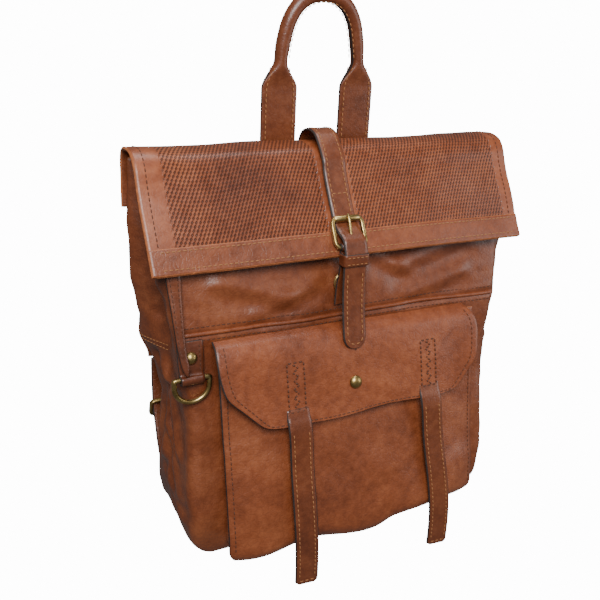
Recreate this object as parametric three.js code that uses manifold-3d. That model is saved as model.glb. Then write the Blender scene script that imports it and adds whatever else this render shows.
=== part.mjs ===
// Fold-over leather backpack with a buckled flap, a front pocket and two hanging straps.
// Millimetres, +Z up, X to the right as the front is faced, +Y towards the wearer.
// Every piece is drawn with the front fold of the flap at y = 0, z = 0; the outermost
// group then moves the origin to the point under the handle where the bag hangs.
import * as THREE from 'three';
import { mergeVertices } from 'three/addons/utils/BufferGeometryUtils.js';
import Module from 'manifold-3d';

const wasm = await Module();
wasm.setup();

// ---- Driving dimensions ----
const HANG_POINT = { y: 34, z: 102 };
const GAP = 0.4;                        // clearance between neighbouring pieces
const LEATHER = 1.6;
const PANEL = 2.6;                      // leather with its backing board or foam
const BACK_Y = 28.4;                    // inner face of the back panel
const BASE_Z = -312;
const MOUTH_Z = -6;
const SEAM_Z = -122.7;                  // the piped seam across the front
const FLAP_WIDTH = 320;
const FLAP_DROP = 84.2;                 // from the front fold to the hem, along the flap
const FLAP_LEAN = THREE.MathUtils.degToRad(60.1);
const FLAP_FOLD_Y = 14;                 // where the flap turns on top of the bag
const HEM_BAND = 20;
const STRAP_X = -7;                     // centre line of the closing strap
const STRAP_WIDTH = 18;
const STRAP_THICK = 2.6;
const POCKET_HALF = 114;
const POCKET_TOP_Z = -132;
const POCKET_BOTTOM_Z = -303;
const POCKET_FLAP_TOP_Z = -127.2;
const HANGER_X = { left: -57, right: 65 };
const HANGER_WIDTH = 18;
const RING_X = -134;                    // the one side ring hangs on the left
const RING_Z = -153;
const HANDLE_HALF = 34;
const HANDLE_WIDTH = 30;
const ROLL_RADIUS = 6;

// Half width of the body against height, down to the rounded bottom corner.
const BODY_SIDE = [[155, MOUTH_Z], [155, -60], [151, -110], [141, -162], [137, -206],
  [139, -250], [138, -285], [134.5, -298], [127, -307], [114, BASE_Z]];
// Outer face of the body's front as y, z from the mouth down to the base.
const BODY_FRONT = [[3, MOUTH_Z], [-17, -45], [-30, -84], [-38.5, -121], [-40, -140], [-43, -178],
  [-50, -215], [-56, -255], [-58, -288], [-53, -306], [-42, BASE_Z]];
// Outer face of the pocket's front as y, z.
const POCKET_FRONT = [[-47, POCKET_TOP_Z], [-54.5, -165], [-62.5, -197], [-73, -240], [-83, -284],
  [-82, -297], [-75, POCKET_BOTTOM_Z]];
// Outer face of the pocket flap as y, z.
const POCKET_FLAP_EDGE_Z = -193;
const POCKET_FLAP = [[-44.5, POCKET_FLAP_TOP_Z], [-52.5, -131.2], [-56.5, -140], [-61.5, -160], [-66.5, -180],
  [-69.7, POCKET_FLAP_EDGE_Z]];
// Half outline of the pocket flap as x, z, clipped at its lower corners.
const POCKET_FLAP_SIDE = [[112, POCKET_FLAP_TOP_Z], [113, -150], [110, -167], [84, POCKET_FLAP_EDGE_Z]];
const POCKET_FLAP_X = -4;               // the pocket flap sits a little to the left

// Spans that clear the whole bag, for cutting one outline with another.
const WIDE = 175;
const FAR_FRONT = -110;
const FAR_BACK = 60;
const FAR_LOW = -340;

// ---- Materials ----
function finish(color, roughness, metalness = 0) {
  return new THREE.MeshStandardMaterial({ color, roughness, metalness });
}
const leather = finish(0x94523a, 0.5);
const wovenLeather = finish(0x8a4b34, 0.55);
const liningCloth = finish(0x5b4a3c, 0.9);
const brass = finish(0x9a7a3c, 0.35, 1);
const zipCloth = finish(0x4a2c1e, 0.85);

// ---- Solids ----
const AXES_YZ = new THREE.Matrix4().makeBasis(
  new THREE.Vector3(0, 1, 0), new THREE.Vector3(0, 0, 1), new THREE.Vector3(1, 0, 0));
const AXES_XZ = new THREE.Matrix4().makeBasis(
  new THREE.Vector3(1, 0, 0), new THREE.Vector3(0, 0, 1), new THREE.Vector3(0, -1, 0));

function solid(geometry) {
  const bare = geometry.index ? geometry.clone() : geometry;
  bare.deleteAttribute('normal');
  bare.deleteAttribute('uv');
  const merged = mergeVertices(bare, 1e-4);
  return new wasm.Manifold(new wasm.Mesh({
    numProp: 3,
    vertProperties: new Float32Array(merged.attributes.position.array),
    triVerts: new Uint32Array(merged.index.array),
  }));
}

function geometryOf(body) {
  const mesh = body.getMesh();
  const geometry = new THREE.BufferGeometry();
  geometry.setAttribute('position', new THREE.BufferAttribute(new Float32Array(mesh.vertProperties), 3));
  geometry.setIndex(new THREE.BufferAttribute(new Uint32Array(mesh.triVerts), 1));
  geometry.computeVertexNormals();
  return geometry;
}

function shapeOf(points) {
  return new THREE.Shape(points.map(([a, b]) => new THREE.Vector2(a, b)));
}

function extrude(shape, depth, segments = 6) {
  return new THREE.ExtrudeGeometry(shape, { depth, bevelEnabled: false, curveSegments: segments });
}

// A side profile in y, z carried from x0 to x1.
function acrossX(points, x0, x1) {
  return solid(extrude(shapeOf(points), x1 - x0).translate(0, 0, x0).applyMatrix4(AXES_YZ));
}

// A front outline in x, z carried from y0 to y1.
function acrossY(shape, y0, y1) {
  return solid(extrude(shape, y1 - y0).translate(0, 0, -y1).applyMatrix4(AXES_XZ));
}

function block(x0, x1, y0, y1, z0, z1) {
  const box = new THREE.BoxGeometry(x1 - x0, y1 - y0, z1 - z0);
  return solid(box.translate((x0 + x1) / 2, (y0 + y1) / 2, (z0 + z1) / 2));
}

// The points of an open path moved sideways by an offset, to the left of its direction.
function offsetPath(path, offset) {
  return path.map((point, i) => {
    const before = path[Math.max(i - 1, 0)];
    const after = path[Math.min(i + 1, path.length - 1)];
    const length = Math.hypot(after[0] - before[0], after[1] - before[1]);
    const side = [-(after[1] - before[1]) / length, (after[0] - before[0]) / length];
    return [point[0] + side[0] * offset, point[1] + side[1] * offset];
  });
}

// A sheet's side profile: the path is one face, the other lies an offset to its left.
function sheetProfile(path, near, far) {
  return [...offsetPath(path, near), ...offsetPath(path, far).reverse()];
}

function mirrored(points) {
  return [...points, ...points.map(([x, z]) => [-x, z]).reverse()];
}

function roundedPlate(width, height, radius) {
  const shape = new THREE.Shape();
  const [w, h] = [width / 2, height / 2];
  shape.moveTo(-w + radius, -h);
  shape.lineTo(w - radius, -h);
  shape.absarc(w - radius, -h + radius, radius, -Math.PI / 2, 0);
  shape.absarc(w - radius, h - radius, radius, 0, Math.PI / 2);
  shape.absarc(-w + radius, h - radius, radius, Math.PI / 2, Math.PI);
  shape.absarc(-w + radius, -h + radius, radius, Math.PI, Math.PI * 1.5);
  return shape;
}

function rodX(radius, length, sides = 16) {
  return new THREE.CylinderGeometry(radius, radius, length, sides).rotateZ(Math.PI / 2);
}

// A curve whose extruded section keeps its flat side towards the wearer's back.
class StrapCurve extends THREE.CatmullRomCurve3 {
  computeFrenetFrames(steps) {
    const frames = { tangents: [], normals: [], binormals: [] };
    for (let i = 0; i <= steps; i += 1) {
      const tangent = this.getTangentAt(i / steps);
      const across = new THREE.Vector3().crossVectors(tangent, new THREE.Vector3(0, 1, 0)).normalize();
      frames.tangents.push(tangent);
      frames.normals.push(across);
      frames.binormals.push(new THREE.Vector3().crossVectors(tangent, across));
    }
    return frames;
  }
}

function strapAlong(points, width, thickness, steps) {
  const path = new StrapCurve(points.map((p) => new THREE.Vector3(...p)));
  const section = roundedPlate(width, thickness, thickness * 0.4);
  return new THREE.ExtrudeGeometry(section, { extrudePath: path, steps, curveSegments: 2 });
}

// ---- The assembly ----
const bag = new THREE.Group();
bag.position.set(0, -HANG_POINT.y, -HANG_POINT.z);

function place(name, shape, material, parent = bag) {
  const geometry = shape.isBufferGeometry ? shape : geometryOf(shape);
  const mesh = new THREE.Mesh(geometry, material);
  mesh.name = name;
  parent.add(mesh);
  return mesh;
}

// ---- Body shell: front, gussets, base, back and the lining inside ----
const bodyOutline = (offset) => shapeOf(mirrored(offsetPath(BODY_SIDE, offset)));
const frontSheet = acrossX(sheetProfile(BODY_FRONT, 0, PANEL), -WIDE, WIDE)
  .intersect(acrossY(bodyOutline(0), FAR_FRONT, BACK_Y));
const seamHalf = 2.5;
// Everything between two heights, and optionally between two widths.
const between = (z0, z1, x0 = -WIDE, x1 = WIDE) => block(x0, x1, FAR_FRONT, FAR_BACK, z0, z1);
place('front_panel_upper', frontSheet.intersect(between(SEAM_Z + seamHalf, 0)), leather);
place('front_panel_lower', frontSheet.intersect(between(FAR_LOW, SEAM_Z - seamHalf)), leather);

const insideFront = offsetPath(BODY_FRONT, PANEL + GAP);
const frontFootY = BODY_FRONT.at(-1)[0] + PANEL;
const sideSpan = acrossX([...insideFront, [frontFootY, BASE_Z - 1], [BACK_Y - GAP, BASE_Z - 1],
  [BACK_Y - GAP, MOUTH_Z]], -WIDE, WIDE);
const insideRim = acrossY(bodyOutline(-PANEL), FAR_FRONT - 1, BACK_Y + 1);
const rim = acrossY(bodyOutline(0), FAR_FRONT, BACK_Y).subtract(insideRim).intersect(sideSpan);
const baseHalf = BODY_SIDE.at(-1)[0];
place('gusset_left', rim.intersect(between(FAR_LOW, 0, -WIDE, -baseHalf - GAP)), leather);
place('gusset_right', rim.intersect(between(FAR_LOW, 0, baseHalf + GAP, WIDE)), leather);
place('base_panel', rim.intersect(between(FAR_LOW, BASE_Z + PANEL + 1, -baseHalf, baseHalf)), leather);
place('back_panel', acrossY(bodyOutline(0), BACK_Y, BACK_Y + PANEL), leather);

function cavity(inset, top) {
  const back = BACK_Y - inset;
  const profile = [[BODY_FRONT[0][0] + PANEL + inset, top], ...offsetPath(BODY_FRONT, PANEL + inset),
    [back, BASE_Z], [back, top]];
  return acrossX(profile, -WIDE, WIDE).intersect(acrossY(bodyOutline(-PANEL - inset), FAR_FRONT, BACK_Y));
}
const liningThick = 0.9;
const liningMouth = block(-146, 146, 6, BACK_Y - 2, MOUTH_Z - 3, MOUTH_Z + 1);
const liningInside = cavity(GAP + liningThick, MOUTH_Z + 1).add(liningMouth);
place('body_lining', cavity(GAP, MOUTH_Z - 1).subtract(liningInside), liningCloth);

const seam = place('front_piping', rodX(2, 2 * 136), leather);
seam.position.set(0, -41.2, SEAM_Z);

// ---- Recessed zip in the mouth: two tapes, a slider parked at one end and its puller ----
const ZIP_Z = -32;
const zipHalf = 134;
const tapeThick = 1;
place('zip_tape_front', block(-zipHalf, zipHalf, -5.2, 4, ZIP_Z, ZIP_Z + tapeThick), zipCloth);
place('zip_tape_back', block(-zipHalf, zipHalf, 17.4, 26.8, ZIP_Z, ZIP_Z + tapeThick), zipCloth);
const zip = new THREE.Group();
zip.position.set(-128, 17.4, ZIP_Z + tapeThick / 2);
bag.add(zip);
const sliderPlate = (z0, z1) => block(-5, 5, -3.4, 5, z0, z1);
const lugZ = 3.7;
const lugPost = (y) => block(-0.5, 0.5, y, y + 0.8, 1.8, lugZ + 0.4);
const lugBar = solid(new THREE.CylinderGeometry(0.5, 0.5, 4, 10).translate(0, 1.8, 0))
  .translate([0, 0, lugZ]);
place('zip_slider', sliderPlate(0.8, 2).add(sliderPlate(-2, -0.8)).add(block(-5, 5, -3.4, -0.4, -2, 2))
  .add(lugPost(-0.2)).add(lugPost(3)).add(lugBar), brass, zip);
const pullerEye = solid(new THREE.CylinderGeometry(1.4, 1.4, 1.6, 16).translate(0, 1.8, 0))
  .subtract(solid(new THREE.CylinderGeometry(0.8, 0.8, 3, 12).translate(0, 1.8, 0)));
const pullerBlade = block(1.1, 3.2, 1, 2.6, -0.5, 0.5).add(block(3, 16, -0.2, 3.8, -0.5, 0.5));
const puller = place('zip_puller', pullerEye.add(pullerBlade), brass, zip);
puller.position.z = lugZ;

// ---- The flap: a fixed part sewn over the back and a part that folds down the front ----
// Along the flap: s runs from the front fold to the hem, h stands out from its face.
const flapPoint = (s, h) => [-Math.cos(FLAP_LEAN) * s - Math.sin(FLAP_LEAN) * h,
  -Math.sin(FLAP_LEAN) * s + Math.cos(FLAP_LEAN) * h];
const flapBlock = (x0, x1, s0, s1, h0, h1) => block(x0, x1, -s1, -s0, h0, h1)
  .rotate([THREE.MathUtils.radToDeg(FLAP_LEAN), 0, 0]);
const foldPath = [[FLAP_FOLD_Y - GAP, 0], [5, 0], [1, -1.2], flapPoint(5, 0), flapPoint(FLAP_DROP, 0)];
const liningFrom = LEATHER + GAP;
const flapHalf = FLAP_WIDTH / 2;
place('top_flap', acrossX(sheetProfile(foldPath, 0, LEATHER), -flapHalf, flapHalf), wovenLeather);
const liningProfile = sheetProfile(foldPath, liningFrom, liningFrom + 1);
place('top_flap_lining', acrossX(liningProfile, 2 - flapHalf, flapHalf - 2), liningCloth);
const hemSpan = [FLAP_DROP - HEM_BAND, FLAP_DROP];
place('flap_hem_band', flapBlock(-flapHalf, flapHalf, ...hemSpan, GAP, GAP + 0.8), leather);
const yokePath = [[FLAP_FOLD_Y + GAP, 0], [27, 0], [31.8, -1.4], [33.2, -5], [33.2, -42]];
place('flap_back_yoke', acrossX(sheetProfile(yokePath, 0, -LEATHER), -flapHalf, flapHalf), leather);

// ---- Closing strap: over the fold, under the roller, over the heel bar and through the keeper ----
const BAR_H = 5.8;                      // the buckle's bars stand this far out from the flap
const HEEL_S = 79;
const ROLLER_S = 57.5;
const strapEdge = [STRAP_X - STRAP_WIDTH / 2, STRAP_X + STRAP_WIDTH / 2];
const halfStrap = STRAP_THICK / 2;
const strapBody = (path) => acrossX(sheetProfile(path, -halfStrap, halfStrap), ...strapEdge);
const TAIL_TOP = [-51.4, -80];
const billetOnFlap = [[2, 1.9], [20, 1.8], [ROLLER_S, 1.8], [62, 2.8], [66, 4.6], [71, 8.2], [75, 10.3],
  [HEEL_S, 11]];
const billetPath = [...billetOnFlap.map(([s, h]) => flapPoint(s, h)), [-51.3, -71], TAIL_TOP];
const prongSlot = flapBlock(STRAP_X - 2.2, STRAP_X + 2.2, 63, 76, 0, 14);
place('closing_strap', strapBody(billetPath).subtract(prongSlot), leather);
const backStrapPath = [[24, 3.4], [33, 2.6], [36.3, -2], [36.3, -62]];
place('closing_strap_back', strapBody(backStrapPath), leather);

const TAIL_TIP_Z = -143;
const tailPath = [[TAIL_TOP[0], TAIL_TOP[1] - GAP], [-52.2, -100], [-55.5, -122], [-60.4, TAIL_TIP_Z]];
const tailOutline = new THREE.Shape();
tailOutline.moveTo(strapEdge[1], 0);
tailOutline.lineTo(strapEdge[1], TAIL_TIP_Z + 9);
tailOutline.quadraticCurveTo(strapEdge[1], TAIL_TIP_Z, STRAP_X, TAIL_TIP_Z);
tailOutline.quadraticCurveTo(strapEdge[0], TAIL_TIP_Z, strapEdge[0], TAIL_TIP_Z + 9);
tailOutline.lineTo(strapEdge[0], 0);
place('strap_tail', strapBody(tailPath).intersect(acrossY(tailOutline, FAR_FRONT, 0)), leather);

const heel = flapPoint(HEEL_S, BAR_H);
const heelLoop = solid(rodX(3.2, STRAP_WIDTH, 20)).subtract(solid(rodX(1.7, STRAP_WIDTH + 2, 16)))
  .translate([STRAP_X, ...heel]);
const loopPath = [[-45.8, -68], [-46.6, -71], [-46.6, -79], [-45.6, -88], [-43.4, -97], [-42.4, -113]];
const prongGap = block(STRAP_X - 2.3, STRAP_X + 2.3, -52, -40, -69.3, -60);
place('buckle_strap', heelLoop.add(strapBody(loopPath)).subtract(prongGap)
  .subtract(solid(rodX(1.7, STRAP_WIDTH + 2, 16)).translate([STRAP_X, ...heel])), leather);

const keeperWall = 1.4;
const keeperInner = [STRAP_X - 9.5, STRAP_X + 9.5, -53.2, -44.9];
const keeperSpan = [-78, -70];
place('strap_keeper', block(keeperInner[0] - keeperWall, keeperInner[1] + keeperWall,
  keeperInner[2] - keeperWall, keeperInner[3] + keeperWall, ...keeperSpan)
  .subtract(block(...keeperInner, keeperSpan[0] - 1, keeperSpan[1] + 1)), leather);

// ---- Roller buckle, drawn about its heel bar with +Y up the flap and +Z out from it ----
const buckle = new THREE.Group();
buckle.position.set(STRAP_X, ...heel);
buckle.rotation.x = FLAP_LEAN;
bag.add(buckle);
const pitch = HEEL_S - ROLLER_S;
const FRAME_WIDTH = 30;
const sideBars = solid(extrude(roundedPlate(FRAME_WIDTH, pitch + 3.2, 5), 3, 8).translate(0, pitch / 2, -1.5))
  .subtract(block(-12, 12, -5, pitch + 5, -3, 3));
place('buckle_frame', sideBars.add(solid(rodX(1.4, 25)))
  .add(solid(rodX(1.2, 25)).translate([0, pitch, 0])), brass, buckle);
const roller = place('buckle_roller', solid(rodX(2.2, 23)).subtract(solid(rodX(1.5, 25))), brass, buckle);
roller.position.y = pitch;
const prongPath = [[1.9, 1.2], [10, 2], [pitch, 3.8], [pitch + 2.6, 3.5]];
place('buckle_prong', solid(rodX(2.7, 3.2)).subtract(solid(rodX(1.7, 5)))
  .add(acrossX(sheetProfile(prongPath, -0.9, 0.9), -1.3, 1.3)).subtract(solid(rodX(1.7, 5))), brass, buckle);

// ---- Hidden magnetic snap between the buckle strap and the front ----
const SNAP_Z = -97;
const disc = (radius, thick) => new THREE.CylinderGeometry(radius, radius, thick, 24);
const snapSocket = place('magnetic_snap_socket', disc(9, 2.4), brass);
snapSocket.position.set(STRAP_X, -36.5, SNAP_Z);
const snapStud = place('magnetic_snap_stud', disc(9, 2.4), brass);
snapStud.position.set(STRAP_X, -39.9, SNAP_Z);

// ---- Front pocket: a bellows box under its own flap ----
const pocketCorner = 24;
function pocketOutline(inset) {
  const [half, bottom, radius] = [POCKET_HALF - inset, POCKET_BOTTOM_Z + inset, pocketCorner - inset];
  const shape = new THREE.Shape();
  shape.moveTo(-half, POCKET_TOP_Z);
  shape.lineTo(-half, bottom + radius);
  shape.absarc(-half + radius, bottom + radius, radius, Math.PI, Math.PI * 1.5);
  shape.lineTo(half - radius, bottom);
  shape.absarc(half - radius, bottom + radius, radius, -Math.PI / 2, 0);
  shape.lineTo(half, POCKET_TOP_Z);
  return shape;
}
const pocketWall = 2;
const POCKET_HEM = 14;
const pocketSheet = acrossX(sheetProfile(POCKET_FRONT, 0, pocketWall), -WIDE, WIDE);
place('pocket_front', pocketSheet.intersect(acrossY(pocketOutline(0), FAR_FRONT, 0)), leather);
// The bellows runs from just in front of the body to just behind the pocket's front.
const behindFront = offsetPath(POCKET_FRONT, pocketWall + GAP);
const bodyAtPocketBase = [-54.4, POCKET_BOTTOM_Z - 1];
const aheadOfBody = offsetPath(BODY_FRONT, -GAP).filter(([, z]) => z < POCKET_TOP_Z && z > POCKET_BOTTOM_Z);
const bellowsSpan = acrossX([...behindFront, bodyAtPocketBase, ...aheadOfBody.reverse()], -WIDE, WIDE);
const insideBellows = acrossY(pocketOutline(pocketWall), FAR_FRONT - 1, 1);
const bellows = acrossY(pocketOutline(0), FAR_FRONT, 0).subtract(insideBellows)
  .intersect(bellowsSpan).intersect(between(POCKET_BOTTOM_Z - 1, aheadOfBody.at(-1)[1]));
const pocketFlat = POCKET_HALF - pocketCorner;
place('pocket_bellows_left', bellows.intersect(between(FAR_LOW, 0, -WIDE, -pocketFlat - GAP)), leather);
place('pocket_bellows_right', bellows.intersect(between(FAR_LOW, 0, pocketFlat + GAP, WIDE)), leather);
const baseSpan = between(FAR_LOW, POCKET_BOTTOM_Z + 13, -pocketFlat, pocketFlat);
place('pocket_base', bellows.intersect(baseSpan), leather);
const hemProfile = sheetProfile(POCKET_FRONT.slice(0, 2), -GAP - 0.8, -GAP);
place('pocket_hem', acrossX(hemProfile, -POCKET_HALF, POCKET_HALF)
  .intersect(between(POCKET_TOP_Z - POCKET_HEM, POCKET_TOP_Z - 1)), leather);

const flapOutline = shapeOf(mirrored(POCKET_FLAP_SIDE).map(([x, z]) => [x + POCKET_FLAP_X, z]));
const flapLayer = (near, far, inset) => acrossX(sheetProfile(POCKET_FLAP, near, far), -WIDE, WIDE)
  .intersect(acrossY(flapOutline, FAR_FRONT, 0))
  .intersect(between(POCKET_FLAP_EDGE_Z + inset, 0));
place('pocket_flap', flapLayer(0, LEATHER, 0), leather);
place('pocket_flap_lining', flapLayer(LEATHER + GAP, LEATHER + GAP + 0.8, 1), liningCloth);

function capProfile(radius, rise) {
  const points = [new THREE.Vector2(0, 0), new THREE.Vector2(radius, 0), new THREE.Vector2(radius, 0.5)];
  for (let i = 1; i <= 4; i += 1) {
    const turn = (i / 4) * (Math.PI / 2);
    const reach = i === 4 ? 0 : radius * Math.cos(turn);
    points.push(new THREE.Vector2(reach, 0.5 + (rise - 0.5) * Math.sin(turn)));
  }
  return new THREE.LatheGeometry(points, 24).rotateX(Math.PI);
}
const POCKET_STUD_Z = -170;
const POCKET_LEAN = -0.245;             // the pocket flap's slope at the snap, in radians
const pocketStud = place('pocket_snap_cap', capProfile(5, 3), brass);
pocketStud.position.set(STRAP_X, -64.4, POCKET_STUD_Z);
pocketStud.rotation.x = POCKET_LEAN;
const pocketSocket = place('pocket_snap_socket', disc(6, 1.6), brass);
pocketSocket.position.set(STRAP_X, -57.1, POCKET_STUD_Z);
pocketSocket.rotation.x = POCKET_LEAN;

// ---- Hanging straps: a root sewn inside the pocket flap and a free part below its edge ----
const hangerRootPath = [[-57.4, -160], [-62.4, -180], [-64.8, -189]];
const HANGER_TIP_Z = -330;
const hangerPath = [[-67.8, -194], [-71.5, -202], [-76.5, -230], [-84.2, -262], [-87.6, -285],
  [-88, HANGER_TIP_Z]];
const hangerLength = 150;
const hangerOutline = roundedPlate(HANGER_WIDTH, hangerLength, 3);
for (const [side, x] of Object.entries(HANGER_X)) {
  const x0 = x - HANGER_WIDTH / 2;
  const x1 = x + HANGER_WIDTH / 2;
  place(`hanging_strap_root_${side}`, acrossX(sheetProfile(hangerRootPath, 0, 1.2), x0, x1), leather);
  const free = acrossX(sheetProfile(hangerPath, -1.3, 1.3), x0, x1);
  const cut = acrossY(hangerOutline, FAR_FRONT, 0).translate([x, 0, HANGER_TIP_Z + hangerLength / 2]);
  place(`hanging_strap_${side}`, free.intersect(cut), leather);
}

// ---- Handle: two flat legs that close into a round grip ----
const LEG_BACK = 34;                    // inner face of the legs, just behind the yoke
const legThick = 3.6;
const gripFoot = 58;
const LEG_FOOT = -46;
const legShape = new THREE.Shape();
legShape.moveTo(-HANDLE_WIDTH / 2, LEG_FOOT);
legShape.lineTo(HANDLE_WIDTH / 2, LEG_FOOT);
legShape.lineTo(HANDLE_WIDTH / 2, 34);
legShape.quadraticCurveTo(HANDLE_WIDTH / 2, 46, ROLL_RADIUS, gripFoot);
legShape.lineTo(-ROLL_RADIUS, gripFoot);
legShape.quadraticCurveTo(-HANDLE_WIDTH / 2, 46, -HANDLE_WIDTH / 2, 34);
const leg = (sign) => acrossY(legShape, LEG_BACK, LEG_BACK + legThick).translate([sign * HANDLE_HALF, 0, 0]);
const gripHalf = [[-HANDLE_HALF, 36, 50], [-HANDLE_HALF + 0.5, 36, 62], [-29, 35, 86], [-16, 34, 103]];
const gripPoints = [...gripHalf, [0, 34, HANG_POINT.z + ROLL_RADIUS],
  ...gripHalf.map(([x, y, z]) => [-x, y, z]).reverse()];
const gripPath = new THREE.CatmullRomCurve3(gripPoints.map((p) => new THREE.Vector3(...p)));
const roundSection = (radius) => new THREE.Shape().absarc(0, 0, radius, 0, Math.PI * 2);
const gripSpan = { extrudePath: gripPath, steps: 22, curveSegments: 6 };
const grip = new THREE.ExtrudeGeometry(roundSection(ROLL_RADIUS), gripSpan);
place('handle', leg(-1).add(leg(1)).add(solid(grip)), leather);

// ---- Side hardware: a ring in a riveted tab, and a short strap hanging over it ----
const ringRadius = 13.4;
const ringLeg = 5;
const wire = 2;
const tabLoop = { y: -46.4, outer: 3.6, inner: 2.3 };
const tabWidth = 20;
const bendPath = [[-42.4, -126], [-44, -145], [-44.3, -151]];
const sideRootPath = [[-24.5, -58], [-35.2, -77]];
const sideStrapPath = [[-35.6, -77.8], [-41.6, -104], [-46, -124], [-50, -137], [-52, -150]];
const tabX0 = RING_X - tabWidth / 2;
const tabPlate = acrossX(sheetProfile(bendPath, -1.1, 1.1), tabX0, tabX0 + tabWidth);
const loop = solid(rodX(tabLoop.outer, tabWidth, 20)).translate([RING_X, tabLoop.y, RING_Z]);
const eye = solid(rodX(tabLoop.inner, tabWidth + 2)).translate([RING_X, tabLoop.y, RING_Z]);
place('ring_tab', tabPlate.add(loop).subtract(eye), leather);
const rivet = place('tab_rivet', capProfile(4.6, 2.8), brass);
rivet.position.set(RING_X, -45.1, -137);
rivet.rotation.x = -0.08;

const bow = [[-ringRadius, 0], [-ringRadius, -ringLeg]];
const bowSteps = 12;
for (let i = 1; i < bowSteps; i += 1) {
  const turn = Math.PI + (i / bowSteps) * Math.PI;
  bow.push([ringRadius * Math.cos(turn), -ringLeg + ringRadius * Math.sin(turn)]);
}
bow.push([ringRadius, -ringLeg], [ringRadius, 0]);
const ringPath = new StrapCurve(bow.map(([a, b]) => new THREE.Vector3(a, 0, b)));
const bowSpan = { extrudePath: ringPath, steps: 18, curveSegments: 4 };
const bowBar = new THREE.ExtrudeGeometry(roundSection(wire), bowSpan);
const ringBar = solid(rodX(wire, 2 * (ringRadius + wire) - 1));
const ring = place('side_ring', solid(bowBar).add(ringBar), brass);
ring.position.set(RING_X, tabLoop.y, RING_Z);

const slant = [[-140, -56], [-138.5, -77], [-139, -112], [-139, -130], [-137, -142], [-138.5, -147],
  [-141, -146], [-144, -132], [-145.5, -116], [-148, -77], [-150, -56]];
const slantCut = acrossY(shapeOf(slant), FAR_FRONT, 0);
const halfSide = 0.9;
const sideStrap = (path) => acrossX(sheetProfile(path, -halfSide, halfSide), -WIDE, WIDE).intersect(slantCut);
place('side_strap_root', sideStrap(sideRootPath), leather);
place('side_strap', sideStrap(sideStrapPath), leather);

// ---- Carrying side: shoulder straps from a stitched yoke to the bottom corners ----
const patchFace = BACK_Y + PANEL + GAP;
const yokePatch = roundedPlate(96, 30, 6);
place('shoulder_yoke', acrossY(yokePatch, patchFace, patchFace + 2).translate([0, 0, -84]), leather);
const PAD_PATH = [[26, 39, -70], [52, 50, -74], [92, 66, -95], [116, 72, -138], [122, 69, -188]];
const LOWER_PATH = [[122.5, 67, -196.5], [124, 60, -232], [124, 48, -262], [122, 39.5, -288]];
const CORNER_TAB = [[100, -306], [130, -296], [134, -272], [112, -276]];
const ADJUSTER = LOWER_PATH[1];
for (const [side, sign] of [['left', -1], ['right', 1]]) {
  const along = (points) => points.map(([x, y, z]) => [sign * x, y, z]);
  place(`shoulder_strap_${side}`, strapAlong(along(PAD_PATH), 42, 8, 12), leather);
  place(`lower_strap_${side}`, strapAlong(along(LOWER_PATH), 18, 2.4, 10), leather);
  const corner = shapeOf(CORNER_TAB.map(([x, z]) => [sign * x, z]));
  place(`corner_tab_${side}`, acrossY(corner, patchFace, patchFace + 2.2), leather);
  const adjuster = new THREE.Group();
  adjuster.position.set(sign * ADJUSTER[0], ADJUSTER[1], ADJUSTER[2]);
  adjuster.rotation.x = 0.3;
  bag.add(adjuster);
  const window = block(-10, 10, -3, 3, -7, 7);
  const plate = acrossY(roundedPlate(26, 18, 3), -2.4, 2.4);
  place(`strap_adjuster_${side}`, plate.subtract(window), brass, adjuster);
}

export default bag;
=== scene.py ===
# The looks of the fold-over leather backpack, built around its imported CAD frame.
import math
import bpy
import numpy as np
from mathutils import Matrix, Vector


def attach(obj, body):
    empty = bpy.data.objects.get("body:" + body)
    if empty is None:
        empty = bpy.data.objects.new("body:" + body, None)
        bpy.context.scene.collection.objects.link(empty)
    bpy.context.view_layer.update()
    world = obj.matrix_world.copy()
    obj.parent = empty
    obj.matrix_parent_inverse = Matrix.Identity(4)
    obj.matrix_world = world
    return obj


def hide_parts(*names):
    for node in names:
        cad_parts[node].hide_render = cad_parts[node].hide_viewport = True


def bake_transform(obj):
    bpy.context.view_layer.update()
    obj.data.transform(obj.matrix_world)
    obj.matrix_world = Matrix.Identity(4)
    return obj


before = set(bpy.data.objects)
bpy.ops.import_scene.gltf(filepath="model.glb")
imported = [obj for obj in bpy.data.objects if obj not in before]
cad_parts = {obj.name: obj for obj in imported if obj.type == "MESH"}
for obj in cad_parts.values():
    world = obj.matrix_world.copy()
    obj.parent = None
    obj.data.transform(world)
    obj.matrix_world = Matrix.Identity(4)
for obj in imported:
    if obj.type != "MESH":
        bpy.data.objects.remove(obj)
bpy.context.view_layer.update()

# ---- Frame ----
# Points are given in millimetres from the flap's front fold line, as the part is drawn:
# X to the right, Y towards the wearer, Z up. The row's origin is the hang point.
MM = 0.001
HANG_Y = 34.0
HANG_Z = 102.0
FLAP_LEAN = math.radians(60.1)


def at(points):
    """Drawing millimetres to the row frame in metres."""
    return (np.asarray(points, float) - (0.0, HANG_Y, HANG_Z)) * MM


def on_flap(s, h):
    """y, z of a point s down the front of the flap and h out from it."""
    return (-math.cos(FLAP_LEAN) * s - math.sin(FLAP_LEAN) * h,
            -math.sin(FLAP_LEAN) * s + math.cos(FLAP_LEAN) * h)


def bend_at(y, z):
    """A point in the middle plane, given in mm, returned in metres in the row frame."""
    return (0, (y - HANG_Y) * MM, (z - HANG_Z) * MM)


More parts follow.
